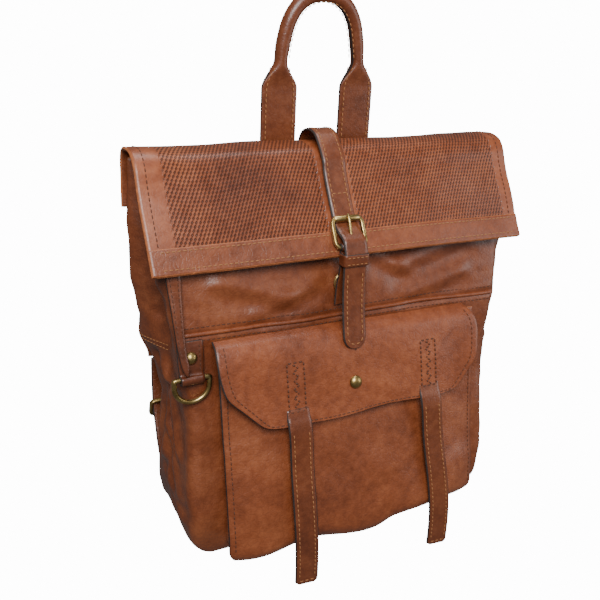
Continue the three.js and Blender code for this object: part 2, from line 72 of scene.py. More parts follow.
# ---- Number helpers ----
def curve(points, count, closed=False):
    """A smooth curve through the points, sampled evenly along its length."""
    pts = np.asarray(points, float)
    n = len(pts)
    if closed:
        pts = np.vstack([pts[-1], pts, pts[0], pts[1]])
        spans = n
    else:
        pts = np.vstack([2 * pts[0] - pts[1], pts, 2 * pts[-1] - pts[-2]])
        spans = n - 1
    out = []
    for i in range(spans):
        p0, p1, p2, p3 = pts[i:i + 4]
        for t in np.linspace(0, 1, 24, endpoint=False):
            out.append(0.5 * (2 * p1 + (p2 - p0) * t + (2 * p0 - 5 * p1 + 4 * p2 - p3) * t * t
                              + (3 * p1 - p0 - 3 * p2 + p3) * t ** 3))
    if not closed:
        out.append(pts[-2])
    out = np.array(out)
    loop = np.vstack([out, out[:1]]) if closed else out
    run = np.concatenate([[0], np.cumsum(np.linalg.norm(np.diff(loop, axis=0), axis=1))])
    want = np.linspace(0, run[-1], count, endpoint=not closed)
    return np.stack([np.interp(want, run, loop[:, k]) for k in range(pts.shape[1])], -1)


def ripple(points, size, seed, stretch=(1, 1, 1)):
    """Smooth wandering noise between about -1 and 1, for points in millimetres."""
    rng = np.random.default_rng(seed)
    p = np.asarray(points, float) / np.asarray(stretch, float) / size
    total = np.zeros(p.shape[:-1])
    weight = 0
    for octave in range(3):
        for _ in range(5):
            direction = rng.normal(size=3)
            direction /= np.linalg.norm(direction)
            total += np.sin(p @ direction * (2.0 ** octave) * 2.6 + rng.uniform(0, 6.28)) / 1.8 ** octave
            weight += 1 / 1.8 ** octave
    return total / weight * 2.2


def bump_at(value, centre, width):
    return np.exp(-((value - centre) / width) ** 2)


def fade(value, low, high):
    t = np.clip((value - low) / (high - low), 0, 1)
    return t * t * (3 - 2 * t)


# ---- Meshes ----
def make_mesh(name, verts, faces, materials, indices=None, uv=None, sharp=50):
    """One mesh object from points in metres; uv is one pair for each vertex, in metres."""
    mesh = bpy.data.meshes.new(name)
    points = np.asarray(verts, float)
    fans = [(f[0], f[i], f[i + 1]) for f in faces for i in range(1, len(f) - 1)]
    a, b, c = np.moveaxis(points[np.array(fans)], 1, 0)
    if np.einsum("ij,ij->i", a, np.cross(b, c)).sum() < 0:
        faces = [f[::-1] for f in faces]
    mesh.from_pydata(points.tolist(), [], [tuple(int(i) for i in f) for f in faces])
    for material in materials:
        mesh.materials.append(material)
    if indices is not None:
        mesh.polygons.foreach_set("material_index", np.asarray(indices, np.int32))
    if uv is not None:
        layer = mesh.uv_layers.new(name="cut")
        loops = np.zeros(len(mesh.loops), np.int32)
        mesh.loops.foreach_get("vertex_index", loops)
        layer.data.foreach_set("uv", np.asarray(uv, np.float32)[loops].ravel())
    mesh.polygons.foreach_set("use_smooth", np.ones(len(mesh.polygons), bool))
    mesh.validate()
    mesh.update()
    mesh.set_sharp_from_angle(angle=math.radians(sharp))
    obj = bpy.data.objects.new(name, mesh)
    bpy.context.scene.collection.objects.link(obj)
    return obj


def grid_normals(grid, wrap):
    if wrap:
        du = np.roll(grid, -1, 0) - np.roll(grid, 1, 0)
    else:
        du = np.gradient(grid, axis=0)
    dv = np.gradient(grid, axis=1)
    normal = np.cross(du, dv)
    return normal / np.maximum(np.linalg.norm(normal, axis=-1, keepdims=True), 1e-12)


def run_lengths(grid, axis):
    step = np.linalg.norm(np.diff(grid, axis=axis), axis=-1)
    pad = [(1, 0) if a == axis else (0, 0) for a in range(2)]
    return np.pad(np.cumsum(step, axis=axis), pad)


def sheet(name, grid, thick, materials, wrap=False, flip=False, roll=0.45):
    """A sheet of leather: the grid (mm) is its outer face and thick its depth behind it.
    materials are the outer face, the rim and the inner face. The rim is rounded."""
    nu, nv = grid.shape[:2]
    normal = grid_normals(grid, wrap)
    if flip:
        normal = -normal
    inner = grid - normal * thick
    ids = np.arange(nu * nv).reshape(nu, nv)
    verts = [grid.reshape(-1, 3), inner.reshape(-1, 3)]
    faces, index = [], []
    iu = np.arange(nu if wrap else nu - 1)
    ju = (iu + 1) % nu
    quads = np.stack([ids[iu, :-1], ids[ju, :-1], ids[ju, 1:], ids[iu, 1:]], -1).reshape(-1, 4)
    if flip:
        quads = quads[:, ::-1]
    faces.append(quads)
    index.append(np.zeros(len(quads), int))
    faces.append(quads[:, ::-1] + nu * nv)
    index.append(np.full(len(quads), 2))
    length_u, length_v = run_lengths(grid, 0), run_lengths(grid, 1)
    uv = [np.stack([length_u, length_v], -1).reshape(-1, 2) * MM] * 2
    base = 2 * nu * nv
    if wrap:
        rims = [(ids[:, 0], grid[:, 0] - grid[:, 1]), (ids[:, -1], grid[:, -1] - grid[:, -2])]
    else:
        rim = np.concatenate([ids[:, 0], ids[-1, 1:], ids[-2::-1, -1], ids[0, -2:0:-1]])
        out = np.zeros_like(grid)
        out[:, 0] += grid[:, 0] - grid[:, 1]
        out[:, -1] += grid[:, -1] - grid[:, -2]
        out[0] += grid[0] - grid[1]
        out[-1] += grid[-1] - grid[-2]
        rims = [(rim, out.reshape(-1, 3)[rim])]
    flat_outer, flat_inner, flat_uv = grid.reshape(-1, 3), inner.reshape(-1, 3), uv[0]
    for rim, out in rims:
        out = out / np.maximum(np.linalg.norm(out, axis=-1, keepdims=True), 1e-9)
        middle = (flat_outer[rim] + flat_inner[rim]) / 2 + out * thick * roll
        verts.append(middle)
        uv.append(flat_uv[rim])
        mid = base + np.arange(len(rim))
        base += len(rim)
        nxt = np.roll(np.arange(len(rim)), -1)
        first = np.stack([rim, mid, mid[nxt], rim[nxt]], -1)
        second = np.stack([mid, rim + nu * nv, rim[nxt] + nu * nv, mid[nxt]], -1)
        side = np.vstack([first, second])
        # the rim's faces turn the same way as the outer face that they join
        edge_a, edge_b = int(rim[0]), int(rim[1])
        loop = next(q for q in faces[0] if edge_a in q and edge_b in q)
        k = list(loop).index(edge_a)
        if loop[(k + 1) % 4] != edge_b:
            side = side[:, ::-1]
        faces.append(side)
        index.append(np.ones(len(side), int))
    return make_mesh(name, at(np.vstack(verts)), np.vstack(faces), materials, np.concatenate(index),
                     np.vstack(uv), sharp=60)


# ---- Materials ----
class Shader:
    """A material's node tree with short helpers; sockets are passed from one call to the next."""

    def __init__(self, name, roughness=0.5, metallic=0.0, coat=0.0):
        self.material = bpy.data.materials.new(name)
        self.material.use_nodes = True
        self.tree = self.material.node_tree
        self.skin = self.tree.nodes["Principled BSDF"]
        self.skin.inputs["Roughness"].default_value = roughness
        self.skin.inputs["Metallic"].default_value = metallic
        self.skin.inputs["Coat Weight"].default_value = coat
        self.skin.inputs["Coat Roughness"].default_value = 0.34
        coords = self.tree.nodes.new("ShaderNodeTexCoord")
        self.place = coords.outputs["Object"]

    def plug(self, socket, value):
        if isinstance(value, bpy.types.NodeSocket):
            self.tree.links.new(value, socket)
        else:
            socket.default_value = value

    def cut(self):
        """The across and along positions on the cut piece, in metres."""
        node = self.tree.nodes.new("ShaderNodeUVMap")
        node.uv_map = "cut"
        parts = self.tree.nodes.new("ShaderNodeSeparateXYZ")
        self.tree.links.new(node.outputs["UV"], parts.inputs[0])
        return parts.outputs[0], parts.outputs[1]

    def math(self, operation, a, b=0.0):
        node = self.tree.nodes.new("ShaderNodeMath")
        node.operation = operation
        self.plug(node.inputs[0], a)
        self.plug(node.inputs[1], b)
        return node.outputs[0]

    def noise(self, scale, detail=3.0, rough=0.55, warp=0.0, where=None):
        node = self.tree.nodes.new("ShaderNodeTexNoise")
        self.plug(node.inputs["Vector"], where or self.place)
        self.plug(node.inputs["Scale"], scale)
        self.plug(node.inputs["Detail"], detail)
        self.plug(node.inputs["Roughness"], rough)
        self.plug(node.inputs["Distortion"], warp)
        return node.outputs["Fac"]

    def cells(self, scale, feature="F1", where=None):
        node = self.tree.nodes.new("ShaderNodeTexVoronoi")
        node.feature = feature
        self.plug(node.inputs["Vector"], where or self.place)
        self.plug(node.inputs["Scale"], scale)
        return node.outputs["Distance"]

    def warped(self, scale, amount):
        """Object coordinates pushed about by noise, so that cells lose their straight sides."""
        node = self.tree.nodes.new("ShaderNodeTexNoise")
        self.plug(node.inputs["Vector"], self.place)
        self.plug(node.inputs["Scale"], scale)
        scaled = self.tree.nodes.new("ShaderNodeVectorMath")
        scaled.operation = "MULTIPLY_ADD"
        self.tree.links.new(node.outputs["Color"], scaled.inputs[0])
        scaled.inputs[1].default_value = (amount,) * 3
        self.tree.links.new(self.place, scaled.inputs[2])
        return scaled.outputs[0]

    def level(self, value, low, high, to_low=0.0, to_high=1.0):
        node = self.tree.nodes.new("ShaderNodeMapRange")
        self.plug(node.inputs["Value"], value)
        for socket, number in zip(("From Min", "From Max", "To Min", "To Max"), (low, high, to_low, to_high)):
            node.inputs[socket].default_value = number
        return node.outputs["Result"]

    def ramp(self, value, stops):
        node = self.tree.nodes.new("ShaderNodeValToRGB")
        self.plug(node.inputs[0], value)
        ends = node.color_ramp.elements
        while len(ends) < len(stops):
            ends.new(0.5)
        for end, (position, color) in zip(ends, stops):
            end.position = position
            end.color = (*color, 1.0)
        return node.outputs["Color"]

    def mix(self, factor, a, b, blend="MIX"):
        node = self.tree.nodes.new("ShaderNodeMix")
        node.data_type = "RGBA"
        node.blend_type = blend
        self.plug(node.inputs[0], factor)
        self.plug(node.inputs[6], a if isinstance(a, bpy.types.NodeSocket) else (*a, 1.0))
        self.plug(node.inputs[7], b if isinstance(b, bpy.types.NodeSocket) else (*b, 1.0))
        return node.outputs[2]

    def bump(self, height, depth, strength=1.0, after=None):
        node = self.tree.nodes.new("ShaderNodeBump")
        node.inputs["Strength"].default_value = strength
        node.inputs["Distance"].default_value = depth
        self.plug(node.inputs["Height"], height)
        if after is not None:
            self.tree.links.new(after, node.inputs["Normal"])
        self.tree.links.new(node.outputs[0], self.skin.inputs["Normal"])
        return node.outputs[0]

    def color(self, value):
        self.plug(self.skin.inputs["Base Color"], value)

    def rough(self, value):
        self.plug(self.skin.inputs["Roughness"], value)


HIDE_DARK = (0.088, 0.019, 0.006)
HIDE_MID = (0.215, 0.053, 0.016)
HIDE_LIGHT = (0.345, 0.102, 0.035)
EDGE_DARK = (0.018, 0.010, 0.008)


def hide(name, tint=1.0, grain=1.0, gloss=0.0):
    """Oiled full-grain leather: cloudy colour, pebble grain, fine creases and scuffs."""
    s = Shader(name, coat=0.34)
    clouds = s.noise(16, 5, 0.6, 0.6)
    flecks = s.noise(150, 4, 0.65)
    tone = s.math("ADD", s.math("MULTIPLY", clouds, 0.62), s.math("MULTIPLY", flecks, 0.38))
    dark, mid, light = [tuple(c * tint for c in shade) for shade in (HIDE_DARK, HIDE_MID, HIDE_LIGHT)]
    base = s.ramp(tone, [(0.27, dark), (0.5, mid), (0.74, light)])
    wandering = s.warped(120, 0.006)
    pebbles = s.cells(520, where=wandering)
    lines = s.level(s.cells(210, "DISTANCE_TO_EDGE", where=wandering), 0.0, 0.12, 0.0, 1.0)
    pores = s.noise(1400, 2, 0.6)
    base = s.mix(s.math("MULTIPLY", s.level(lines, 0, 1, 1, 0), 0.16), base, dark)
    s.color(base)
    s.rough(s.level(s.math("ADD", flecks, s.math("MULTIPLY", pebbles, 0.35)), 0.35, 0.95,
                    0.33 - gloss, 0.52 - gloss))
    first = s.bump(pebbles, 0.00022 * grain, 0.55)
    second = s.bump(lines, 0.00018 * grain, 0.4, first)
    s.bump(pores, 0.0001 * grain, 0.5, second)
    return s


def embossed_hide():
    """The flap's leather, pressed with staggered rows of short upright dashes between plain margins."""
    dash_pitch, row_pitch, slant = 0.0030, 0.0030, 0.35
    margin_left, margin_right, beside_strap = 0.018, 0.012, 0.0125
    s = hide("embossed leather", tint=1.2, grain=0.4)
    across, along = s.cut()
    row = s.math("DIVIDE", along, row_pitch)
    shift = s.math("MULTIPLY", s.math("MODULO", s.math("FLOOR", row), 2.0), 0.5)
    up = s.math("SUBTRACT", s.math("FRACT", row), 0.5)
    column = s.math("ADD", s.math("DIVIDE", across, dash_pitch), s.math("MULTIPLY_ADD", up, slant))
    column = s.math("ADD", column, shift)
    wide = s.math("DIVIDE", s.math("ABSOLUTE", s.math("SUBTRACT", s.math("FRACT", column), 0.5)), 0.42)
    tall = s.math("DIVIDE", s.math("ABSOLUTE", up), 0.78)
    pit = s.level(s.math("ADD", wide, tall), 0.35, 1.0, 1, 0)
    half = FLAP_HALF * MM
    inside = s.math("MULTIPLY", s.level(across, margin_left - half, margin_left - half + 0.002),
                    s.level(across, half - margin_right - 0.002, half - margin_right, 1, 0))
    off_strap = s.math("ABSOLUTE", s.math("SUBTRACT", across, STRAP_X * MM))
    inside = s.math("MULTIPLY", inside, s.level(off_strap, beside_strap, beside_strap + 0.002))
    dashes = s.math("MULTIPLY", pit, inside)
    old_color = s.skin.inputs["Base Color"].links[0].from_socket
    s.color(s.mix(s.math("MULTIPLY", dashes, 0.8), old_color, tuple(c * 0.45 for c in HIDE_DARK)))
    old_normal = s.skin.inputs["Normal"].links[0].from_socket
    s.bump(s.level(dashes, 0, 1, 1, 0), 0.0010, 1.0, old_normal)
    return s


def edge_paint(name, color, rough):
    s = Shader(name, coat=0.04)
    wear = s.noise(260, 4, 0.7)
    s.color(s.ramp(wear, [(0.35, color), (0.6, tuple(c * 1.5 for c in color)),
                          (0.78, tuple(min(c * 3.2 + 0.01, 1) for c in color))]))
    s.rough(s.level(wear, 0.3, 0.8, rough, rough + 0.2))
    s.bump(s.noise(900, 3), 0.00015, 0.5)
    return s


def thread(name, color):
    s = Shader(name, roughness=0.7)
    twist = s.noise(2600, 2, 0.6, where=s.warped(400, 0.002))
    s.color(s.ramp(twist, [(0.3, tuple(c * 0.62 for c in color)), (0.7, color)]))
    s.bump(twist, 0.00012, 0.7)
    return s


def antique_brass():
    s = Shader("antique brass", metallic=1.0)
    patina = s.noise(95, 5, 0.65)
    scratches = s.noise(900, 3, 0.7)
    blend = s.math("ADD", s.math("MULTIPLY", patina, 0.7), s.math("MULTIPLY", scratches, 0.3))
    s.color(s.ramp(blend, [(0.34, (0.13, 0.085, 0.030)), (0.5, (0.42, 0.29, 0.105)),
                           (0.68, (0.72, 0.55, 0.25))]))
    s.rough(s.level(blend, 0.3, 0.75, 0.46, 0.24))
    s.bump(scratches, 0.00008, 0.4)
    return s


def weave(name, dark, light, pitch):
    """Plain woven cloth laid out on the piece's cut coordinates."""
    s = Shader(name, roughness=0.88)
    across, along = s.cut()
    turn = 2 * math.pi / pitch
    warp = s.math("SINE", s.math("MULTIPLY", across, turn))
    weft = s.math("SINE", s.math("MULTIPLY", along, turn))
    height = s.level(s.math("MULTIPLY", warp, weft), -1, 1)
    tone = s.math("ADD", s.math("MULTIPLY", height, 0.6), s.math("MULTIPLY", s.noise(300, 3), 0.4))
    s.color(s.ramp(tone, [(0.25, dark), (0.8, light)]))
    s.bump(height, 0.0002, 0.6)
    return s


# ---- Driving sizes ----
FRONT_COLUMNS = 96         # the body grid's columns across its front face
FRONT_HALF = 142           # half the width that those columns are looked up over
FLAP_HALF = 160.0
FLAP_DROP = 84.2
STRAP_X = -7.0
STRAP_WIDTH = 18.0
SEAM_Z = -122.7
RING_X = -134.0
POCKET_HALF = 114.0

LEATHER = hide("cognac leather").material
# a lighter copy of the cognac leather: painted light on the pocket flap
LIT_LID_HIDE = hide("pocket flap leather, painted light", tint=1.1).material
# a darker copy of the cognac leather: painted shade on the body shell, the flap's underside and the pocket
# bellows
SHADED_HIDE = hide("cognac leather, painted shade", tint=0.86).material
STRAP_HIDE = hide("strap leather", tint=0.7, grain=0.7, gloss=0.04).material
WOVEN = embossed_hide().material
RAW = edge_paint("turned edge", (0.27, 0.082, 0.026), 0.5).material
PAINT = edge_paint("edge paint", EDGE_DARK, 0.55).material
THREAD = thread("tan thread", (0.40, 0.165, 0.058)).material
DARK_THREAD = thread("brown thread", (0.105, 0.033, 0.014)).material
BRASS = antique_brass().material
LINING = weave("lining cloth", (0.055, 0.036, 0.024), (0.16, 0.11, 0.075), 0.0012).material
TAPE = weave("zip tape", (0.022, 0.012, 0.009), (0.07, 0.040, 0.028), 0.0009).material
FLESH = hide("flesh side", tint=0.7, grain=1.6).material


# ---- Body: one soft shell, lofted from the mouth to the base ----
BODY_SIDE = [(-6, 151), (-60, 151), (-110, 146), (-160, 139), (-206, 137), (-250, 139), (-285, 138),
             (-298, 134.5), (-307, 127), (-312, 114)]
BODY_BACK = [(-6, 157), (-60, 158), (-100, 156), (-126, 152.5), (-146, 149), (-170, 141), (-196, 136),
             (-225, 137.5),
             (-255, 139), (-285, 138), (-298, 134.5), (-307, 127), (-312, 114)]
BODY_FRONT = [(-6, 3), (-45, -17), (-84, -30), (-121, -38.5), (-140, -40), (-178, -43), (-215, -50),
              (-255, -56), (-288, -58), (-306, -53), (-312, -42)]
BODY_BACK_Y = 31.0
BASE_Z = -312.0


def along_z(table, z):
    """A value against height from (z, value) pairs listed downwards, smoothed between them."""
    pairs = curve(table, 160)[::-1]
    return np.interp(z, pairs[:, 0], pairs[:, 1])


def section(half, back_half, front, back, fold):
    """One level of the body: front, right gusset, back and left gusset as a closed run of x, y."""
    near, far = 9.0, 5.0
    turn = np.linspace(0, math.pi / 2, 9)[1:-1]
    x = np.linspace(-(half - near), half - near, FRONT_COLUMNS)
    run = [np.stack([x, np.full_like(x, front)], -1)]
    corner = np.stack([half - near + near * np.sin(turn), front + near - near * np.cos(turn)], -1)
    t = np.linspace(0, 1, 30)
    y = front + near + (back - far - front - near) * t
    inward = fold * (1 - np.abs(2 * t - 1)) ** 1.35
    side = np.stack([half + (back_half - half) * fade(t, 0, 0.8) - inward, y], -1)
    rear = np.stack([back_half - far + far * np.cos(turn), back - far + far * np.sin(turn)], -1)
    right = np.vstack([corner, side, rear])
    back_x = np.linspace(back_half - far, -(back_half - far), 60)
    left = (right * (-1, 1))[::-1]
    return np.vstack([run[0], right, np.stack([back_x, np.full_like(back_x, back)], -1), left])


def crease(points, start, end, width):
    """How near each y, z is to the stretch from start to end, as 1 on it and 0 away from it."""
    start, end = np.array(start, float), np.array(end, float)
    line = end - start
    t = np.clip(((points - start) @ line) / (line @ line), 0, 1)
    gap = np.linalg.norm(points - start - t[..., None] * line, axis=-1)
    return np.exp(-(gap / width) ** 2) * fade(t, 0, 0.15) * (1 - fade(t, 0.8, 1.0))


def body_grid(top=-6.0, low=BASE_Z, levels=150):
    """The body's outer face in mm: levels from the mouth to the middle of the base."""
    corner = np.sin(np.linspace(0, math.pi / 2, 12))[1:]
    heights = np.concatenate([np.linspace(top, -290, levels), -290 + (low + 290) * corner])
    rings = []
    for z in heights:
        fold = 22.0 * (1 - fade(-z, 70, 205)) - 5.5 * bump_at(z, -262, 34) + 1.5
        half = along_z(BODY_SIDE, max(z, BASE_Z))
        front = along_z(BODY_FRONT, max(z, BASE_Z))
        back_half = along_z(BODY_BACK, max(z, BASE_Z))
        outline = section(half, back_half, front, BODY_BACK_Y, fold)
        rings.append(np.column_stack([outline, np.full(len(outline), z)]))
    middle = rings[-1].mean(0)
    for scale in (0.9, 0.7, 0.45, 0.2, 0.01):
        ring = middle + (rings[-1 if scale == 0.9 else len(heights) - 1] - middle) * (scale, scale, 1)
        ring[:, 2] = low + 1.2 * (1 - scale)
        rings.append(ring)
    return np.stack(rings, 1)


def sag_body(grid):
    """Wrinkles, gusset creases and the sunk seam, pushed along the shell's own normals."""
    normal = grid_normals(grid, True)
    if (normal[48, 40, 1]) > 0:
        normal = -normal
    x, y, z = grid[..., 0], grid[..., 1], grid[..., 2]
    front = fade(-normal[..., 1], 0.5, 0.9)
    side = fade(np.abs(normal[..., 0]), 0.45, 0.85)
    rear = fade(normal[..., 1], 0.5, 0.9)
    low = fade(-z, 20, 60) * (1 - fade(-z, 300, 311))
    push = ripple(grid, 46, 3, (1.5, 1, 0.75)) * 1.5 * front
    push += ripple(grid, 17, 4, (1.7, 1, 0.8)) * 0.55 * front * (1 - fade(-z, 118, 128) * 0.4)
    push += ripple(grid, 30, 5, (1, 1, 1.2)) * 1.7 * side + ripple(grid, 12, 6, (1, 0.8, 1.5)) * 0.6 * side
    push += ripple(grid, 55, 7) * 1.2 * rear
    spot = np.stack([y, z], -1)
    dents = [((22, -152), (-24, -238), 6.0, 6.0), ((20, -205), (-28, -268), 7.0, 4.2),
             ((-30, -160), (4, -184), 4.5, 3.0), ((16, -250), (-34, -282), 7.0, 3.6),
             ((-16, -70), (10, -132), 5.5, 4.5), ((14, -176), (24, -262), 6.0, 3.0)]
    for start, end, width, depth in dents:
        push -= depth * crease(spot, start, end, width) * side
        push += 0.8 * depth * crease(spot + (2.0 * width, 0), start, end, width) * side
    folds = [((-120, -84), (-40, -108), 6, 2.4), ((30, -92), (128, -70), 7, 2.6),
             ((-90, -116), (-20, -92), 6, 1.8),
             ((40, -116), (120, -98), 6, 2.0), ((14, -76), (60, -98), 5, 1.6)]
    flat = np.stack([x, z], -1)
    for start, end, width, depth in folds:
        push += depth * crease(flat, start, end, width) * front
        push -= 0.7 * depth * crease(flat + (0, 1.9 * width), start, end, width) * front
    push *= low
    push -= 1.5 * bump_at(z, SEAM_Z, 2.2) * front
    return grid + normal * push[..., None]


skin_grid = sag_body(body_grid())
# the shell's outer face takes the darker leather copy, painted shade
body = sheet("body_shell", skin_grid, 2.6, [SHADED_HIDE, RAW, LINING], wrap=True, flip=True)
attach(body, "root")
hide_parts("front_panel_upper", "front_panel_lower", "gusset_left", "gusset_right", "base_panel",
            "back_panel")

skin_out = grid_normals(skin_grid, True)
skin_out = skin_out * np.sign(np.sum(skin_out[:FRONT_COLUMNS, 60, 1]) * -1)
inner_grid = (skin_grid - skin_out * 3.2)[::2, 3:-3:2]
lining = sheet("lining_bag", inner_grid, 0.9, [LINING, LINING, LINING], wrap=True, flip=True)
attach(lining, "root")
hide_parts("body_lining")


# ---- Strips, tubes and stitching ----
def strip(path, width, x=0.0, across=9, along=90, lift=None):
    """A strap's outer face as a grid: path is y, z points, carried across its width about x."""
    line = curve(path, along)
    spread = np.linspace(-width / 2, width / 2, across) + x
    grid = np.zeros((across, along, 3))
    grid[..., 0] = spread[:, None]
    grid[..., 1:] = line[None]
    if lift is not None:
        grid = lift(grid)
    return grid


def round_tip(grid, x, length, power=2.2, start=False):
    """Draws a strip's sides in to a rounded tip over its last stretch."""
    run = run_lengths(grid, 1)[0]
    run = run[::-1] if not start else run
    gap = np.clip(1 - run / length, 0, 1)
    shrink = np.maximum(1 - gap ** power, 0) ** (1 / power)
    grid[..., 0] = x + (grid[..., 0] - x) * shrink
    return grid


def tube(name, points, radius, materials, sides=12, closed=False, count=None):
    """A round bar along a smooth path in mm; radius is one number or one for each station."""
    line = curve(points, count or max(24, 6 * len(points)), closed)
    n = len(line)
    radius = np.broadcast_to(np.asarray(radius, float), (n,))
    if closed:
        forward = np.roll(line, -1, 0) - np.roll(line, 1, 0)
    else:
        forward = np.gradient(line, axis=0)
    forward /= np.linalg.norm(forward, axis=1, keepdims=True)
    side = np.cross(forward[0], (0.31, 0.87, 0.39))
    verts = []
    for k in range(n):
        side = side - forward[k] * (side @ forward[k])
        side /= np.linalg.norm(side)
        up = np.cross(forward[k], side)
        angle = np.linspace(0, 2 * math.pi, sides, endpoint=False)
        ring = np.cos(angle)[:, None] * side + np.sin(angle)[:, None] * up
        verts.append(line[k] + ring * radius[k])
    verts = np.array(verts)
    ids = np.arange(n * sides).reshape(n, sides)
    nxt = np.roll(ids, -1, 1)
    if closed:
        faces = np.stack([ids, nxt, np.roll(nxt, -1, 0), np.roll(ids, -1, 0)], -1).reshape(-1, 4).tolist()
    else:
        faces = np.stack([ids[:-1], nxt[:-1], nxt[1:], ids[1:]], -1).reshape(-1, 4).tolist()
        faces += [ids[0, ::-1].tolist(), ids[-1].tolist()]
    return make_mesh(name, at(verts.reshape(-1, 3)), faces, materials, sharp=50)


def lathe(name, profile, centre, axis, materials, sides=40):
    """A turned piece: profile is (radius, height) points in mm from the axis out to the axis."""
    axis = np.array(axis, float) / np.linalg.norm(axis)
    side = np.cross(axis, (0.2, 0.3, 0.93))
    side /= np.linalg.norm(side)
    up = np.cross(axis, side)
    angle = np.linspace(0, 2 * math.pi, sides, endpoint=False)
    spoke = np.cos(angle)[:, None] * side + np.sin(angle)[:, None] * up
    rings = [np.array(centre) + spoke * r + axis * h for r, h in profile]
    verts = np.array(rings).reshape(-1, 3)
    ids = np.arange(len(profile) * sides).reshape(-1, sides)
    nxt = np.roll(ids, -1, 1)
    faces = np.stack([ids[:-1], nxt[:-1], nxt[1:], ids[1:]], -1).reshape(-1, 4).tolist()
    faces += [ids[0, ::-1].tolist(), ids[-1].tolist()]
    return make_mesh(name, at(verts), faces, materials, sharp=35)


def stitches(name, lines, material=None, pitch=4.0, length=2.9, thick=0.42):
    """Stitches along runs of points, each run with the direction that its face looks out in."""
    verts, faces = [], []
    stations = [(-0.5, 0.35, -0.5), (-0.42, 0.8, -0.1), (0.0, 1.0, 0.32), (0.42, 0.8, -0.1),
                (0.5, 0.35, -0.5)]
    for points, outward in lines:
        points = np.asarray(points, float)
        outward = np.broadcast_to(np.asarray(outward, float), points.shape)
        run = np.concatenate([[0], np.cumsum(np.linalg.norm(np.diff(points, axis=0), axis=1))])
        number = max(1, int(run[-1] / pitch))
        for k in range(number):
            middle = (k + 0.5) * run[-1] / number
            a, b = [np.array([np.interp(middle + d, run, points[:, i]) for i in range(3)])
                    for d in (-length / 2, length / 2)]
            out = np.array([np.interp(middle, run, outward[:, i]) for i in range(3)])
            along = b - a
            out = out - along * (out @ along) / max(along @ along, 1e-9)
            out /= max(np.linalg.norm(out), 1e-9)
            side = np.cross(along / max(np.linalg.norm(along), 1e-9), out)
            base = len(verts)
            for t, size, rise in stations:
                centre = (a + b) / 2 + along * t + out * thick * rise
                for q in range(6):
                    angle = q * math.pi / 3
                    verts.append(centre + (side * math.cos(angle) + out * math.sin(angle)) * thick * size)
            for ring in range(len(stations) - 1):
                for q in range(6):
                    r = (q + 1) % 6
                    low, high = base + ring * 6, base + ring * 6 + 6
                    faces.append([low + q, low + r, high + r, high + q])
            faces.append([base + q for q in range(5, -1, -1)])
            faces.append([base + 24 + q for q in range(6)])
    return make_mesh(name, at(np.array(verts)), faces, [material or THREAD])


def seam_on(grid, at_u=None, at_v=None, start=0.0, end=1.0, flip=False, rise=0.05):
    """A run of points on a grid, along v at a place in u or along u at a place in v (0 to 1)."""
    normal = grid_normals(grid, False) * (-1 if flip else 1)
    if at_u is not None:
        k = at_u * (grid.shape[0] - 1)
        i, f = int(min(k, grid.shape[0] - 2)), k - int(min(k, grid.shape[0] - 2))
        points, outward = grid[i] * (1 - f) + grid[i + 1] * f, normal[i]
    else:
        k = at_v * (grid.shape[1] - 1)
        i, f = int(min(k, grid.shape[1] - 2)), k - int(min(k, grid.shape[1] - 2))
        points, outward = grid[:, i] * (1 - f) + grid[:, i + 1] * f, normal[:, i]
    a, b = int(start * (len(points) - 1)), int(end * (len(points) - 1)) + 1
    return points[a:b] + outward[a:b] * rise, outward[a:b]


# ---- Front piping ----
def front_of_body(x, z):
    """y of the wrinkled body's front face at a place, or at an array of places."""
    run = skin_grid[:FRONT_COLUMNS]
    column = np.clip((np.asarray(x) + FRONT_HALF) / (2 * FRONT_HALF) * (FRONT_COLUMNS - 1), 0,
                     FRONT_COLUMNS - 1).astype(int)
    heights = run[column, :, 2] if np.ndim(x) else run[int(column), :, 2]
    if np.ndim(x):
        return np.array([np.interp(-zz, -h, run[c, :, 1])
                         for c, h, zz in zip(column, heights, np.broadcast_to(z, np.shape(x)))])
    return float(np.interp(-z, -heights, run[int(column), :, 1]))


seam_x = np.linspace(-137, 137, 60)
wander = 0.8 * np.sin(seam_x / 31.0)
piping = tube("front_piping_cord",
              np.stack([seam_x, front_of_body(seam_x, SEAM_Z) - 0.7, SEAM_Z + wander], -1),
              1.8, [LEATHER], sides=10, count=200)
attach(piping, "root")
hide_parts("front_piping")
rows = []
for offset in (5.2, -5.0):
    z = SEAM_Z + wander + offset
    rows.append((np.stack([seam_x, front_of_body(seam_x, z) - 0.15, z], -1), (0, -1, 0.2)))
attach(stitches("seam_stitches", rows, DARK_THREAD), "root")


# ---- The sewn joint across each gusset ----
def gusset_line(z, side):
    """Points across the gusset at a height, from its front corner to its back corner."""
    columns = range(104, 132) if side > 0 else range(221, 193, -1)
    return np.array([[np.interp(-z, -skin_grid[c, :, 2], skin_grid[c, :, k]) for k in (0, 1)] + [z]
                     for c in columns])


rows = []
for side in (-1, 1):
    for z in (-145.0, -148.6):
        run = gusset_line(z, side)
        run[:, 0] += side * 0.2
        rows.append((run, (side, 0, 0)))
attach(stitches("gusset_stitches", rows, THREAD, pitch=3.4, length=2.5), "root")


# ---- The flap: over the back, round the soft fold and down the front ----
def flap_path():
    """y, z along the flap, from its lower end behind to its hem."""
    return [(33.4, -43), (33.6, -34), (33.0, -18), (32.4, -6), (28.5, 0.4), (20, 2.4), (10, 2.2), (1.5, -0.6),
            on_flap(9, 0.4), on_flap(20, 0), on_flap(45, 0), on_flap(FLAP_DROP, 0.2)]


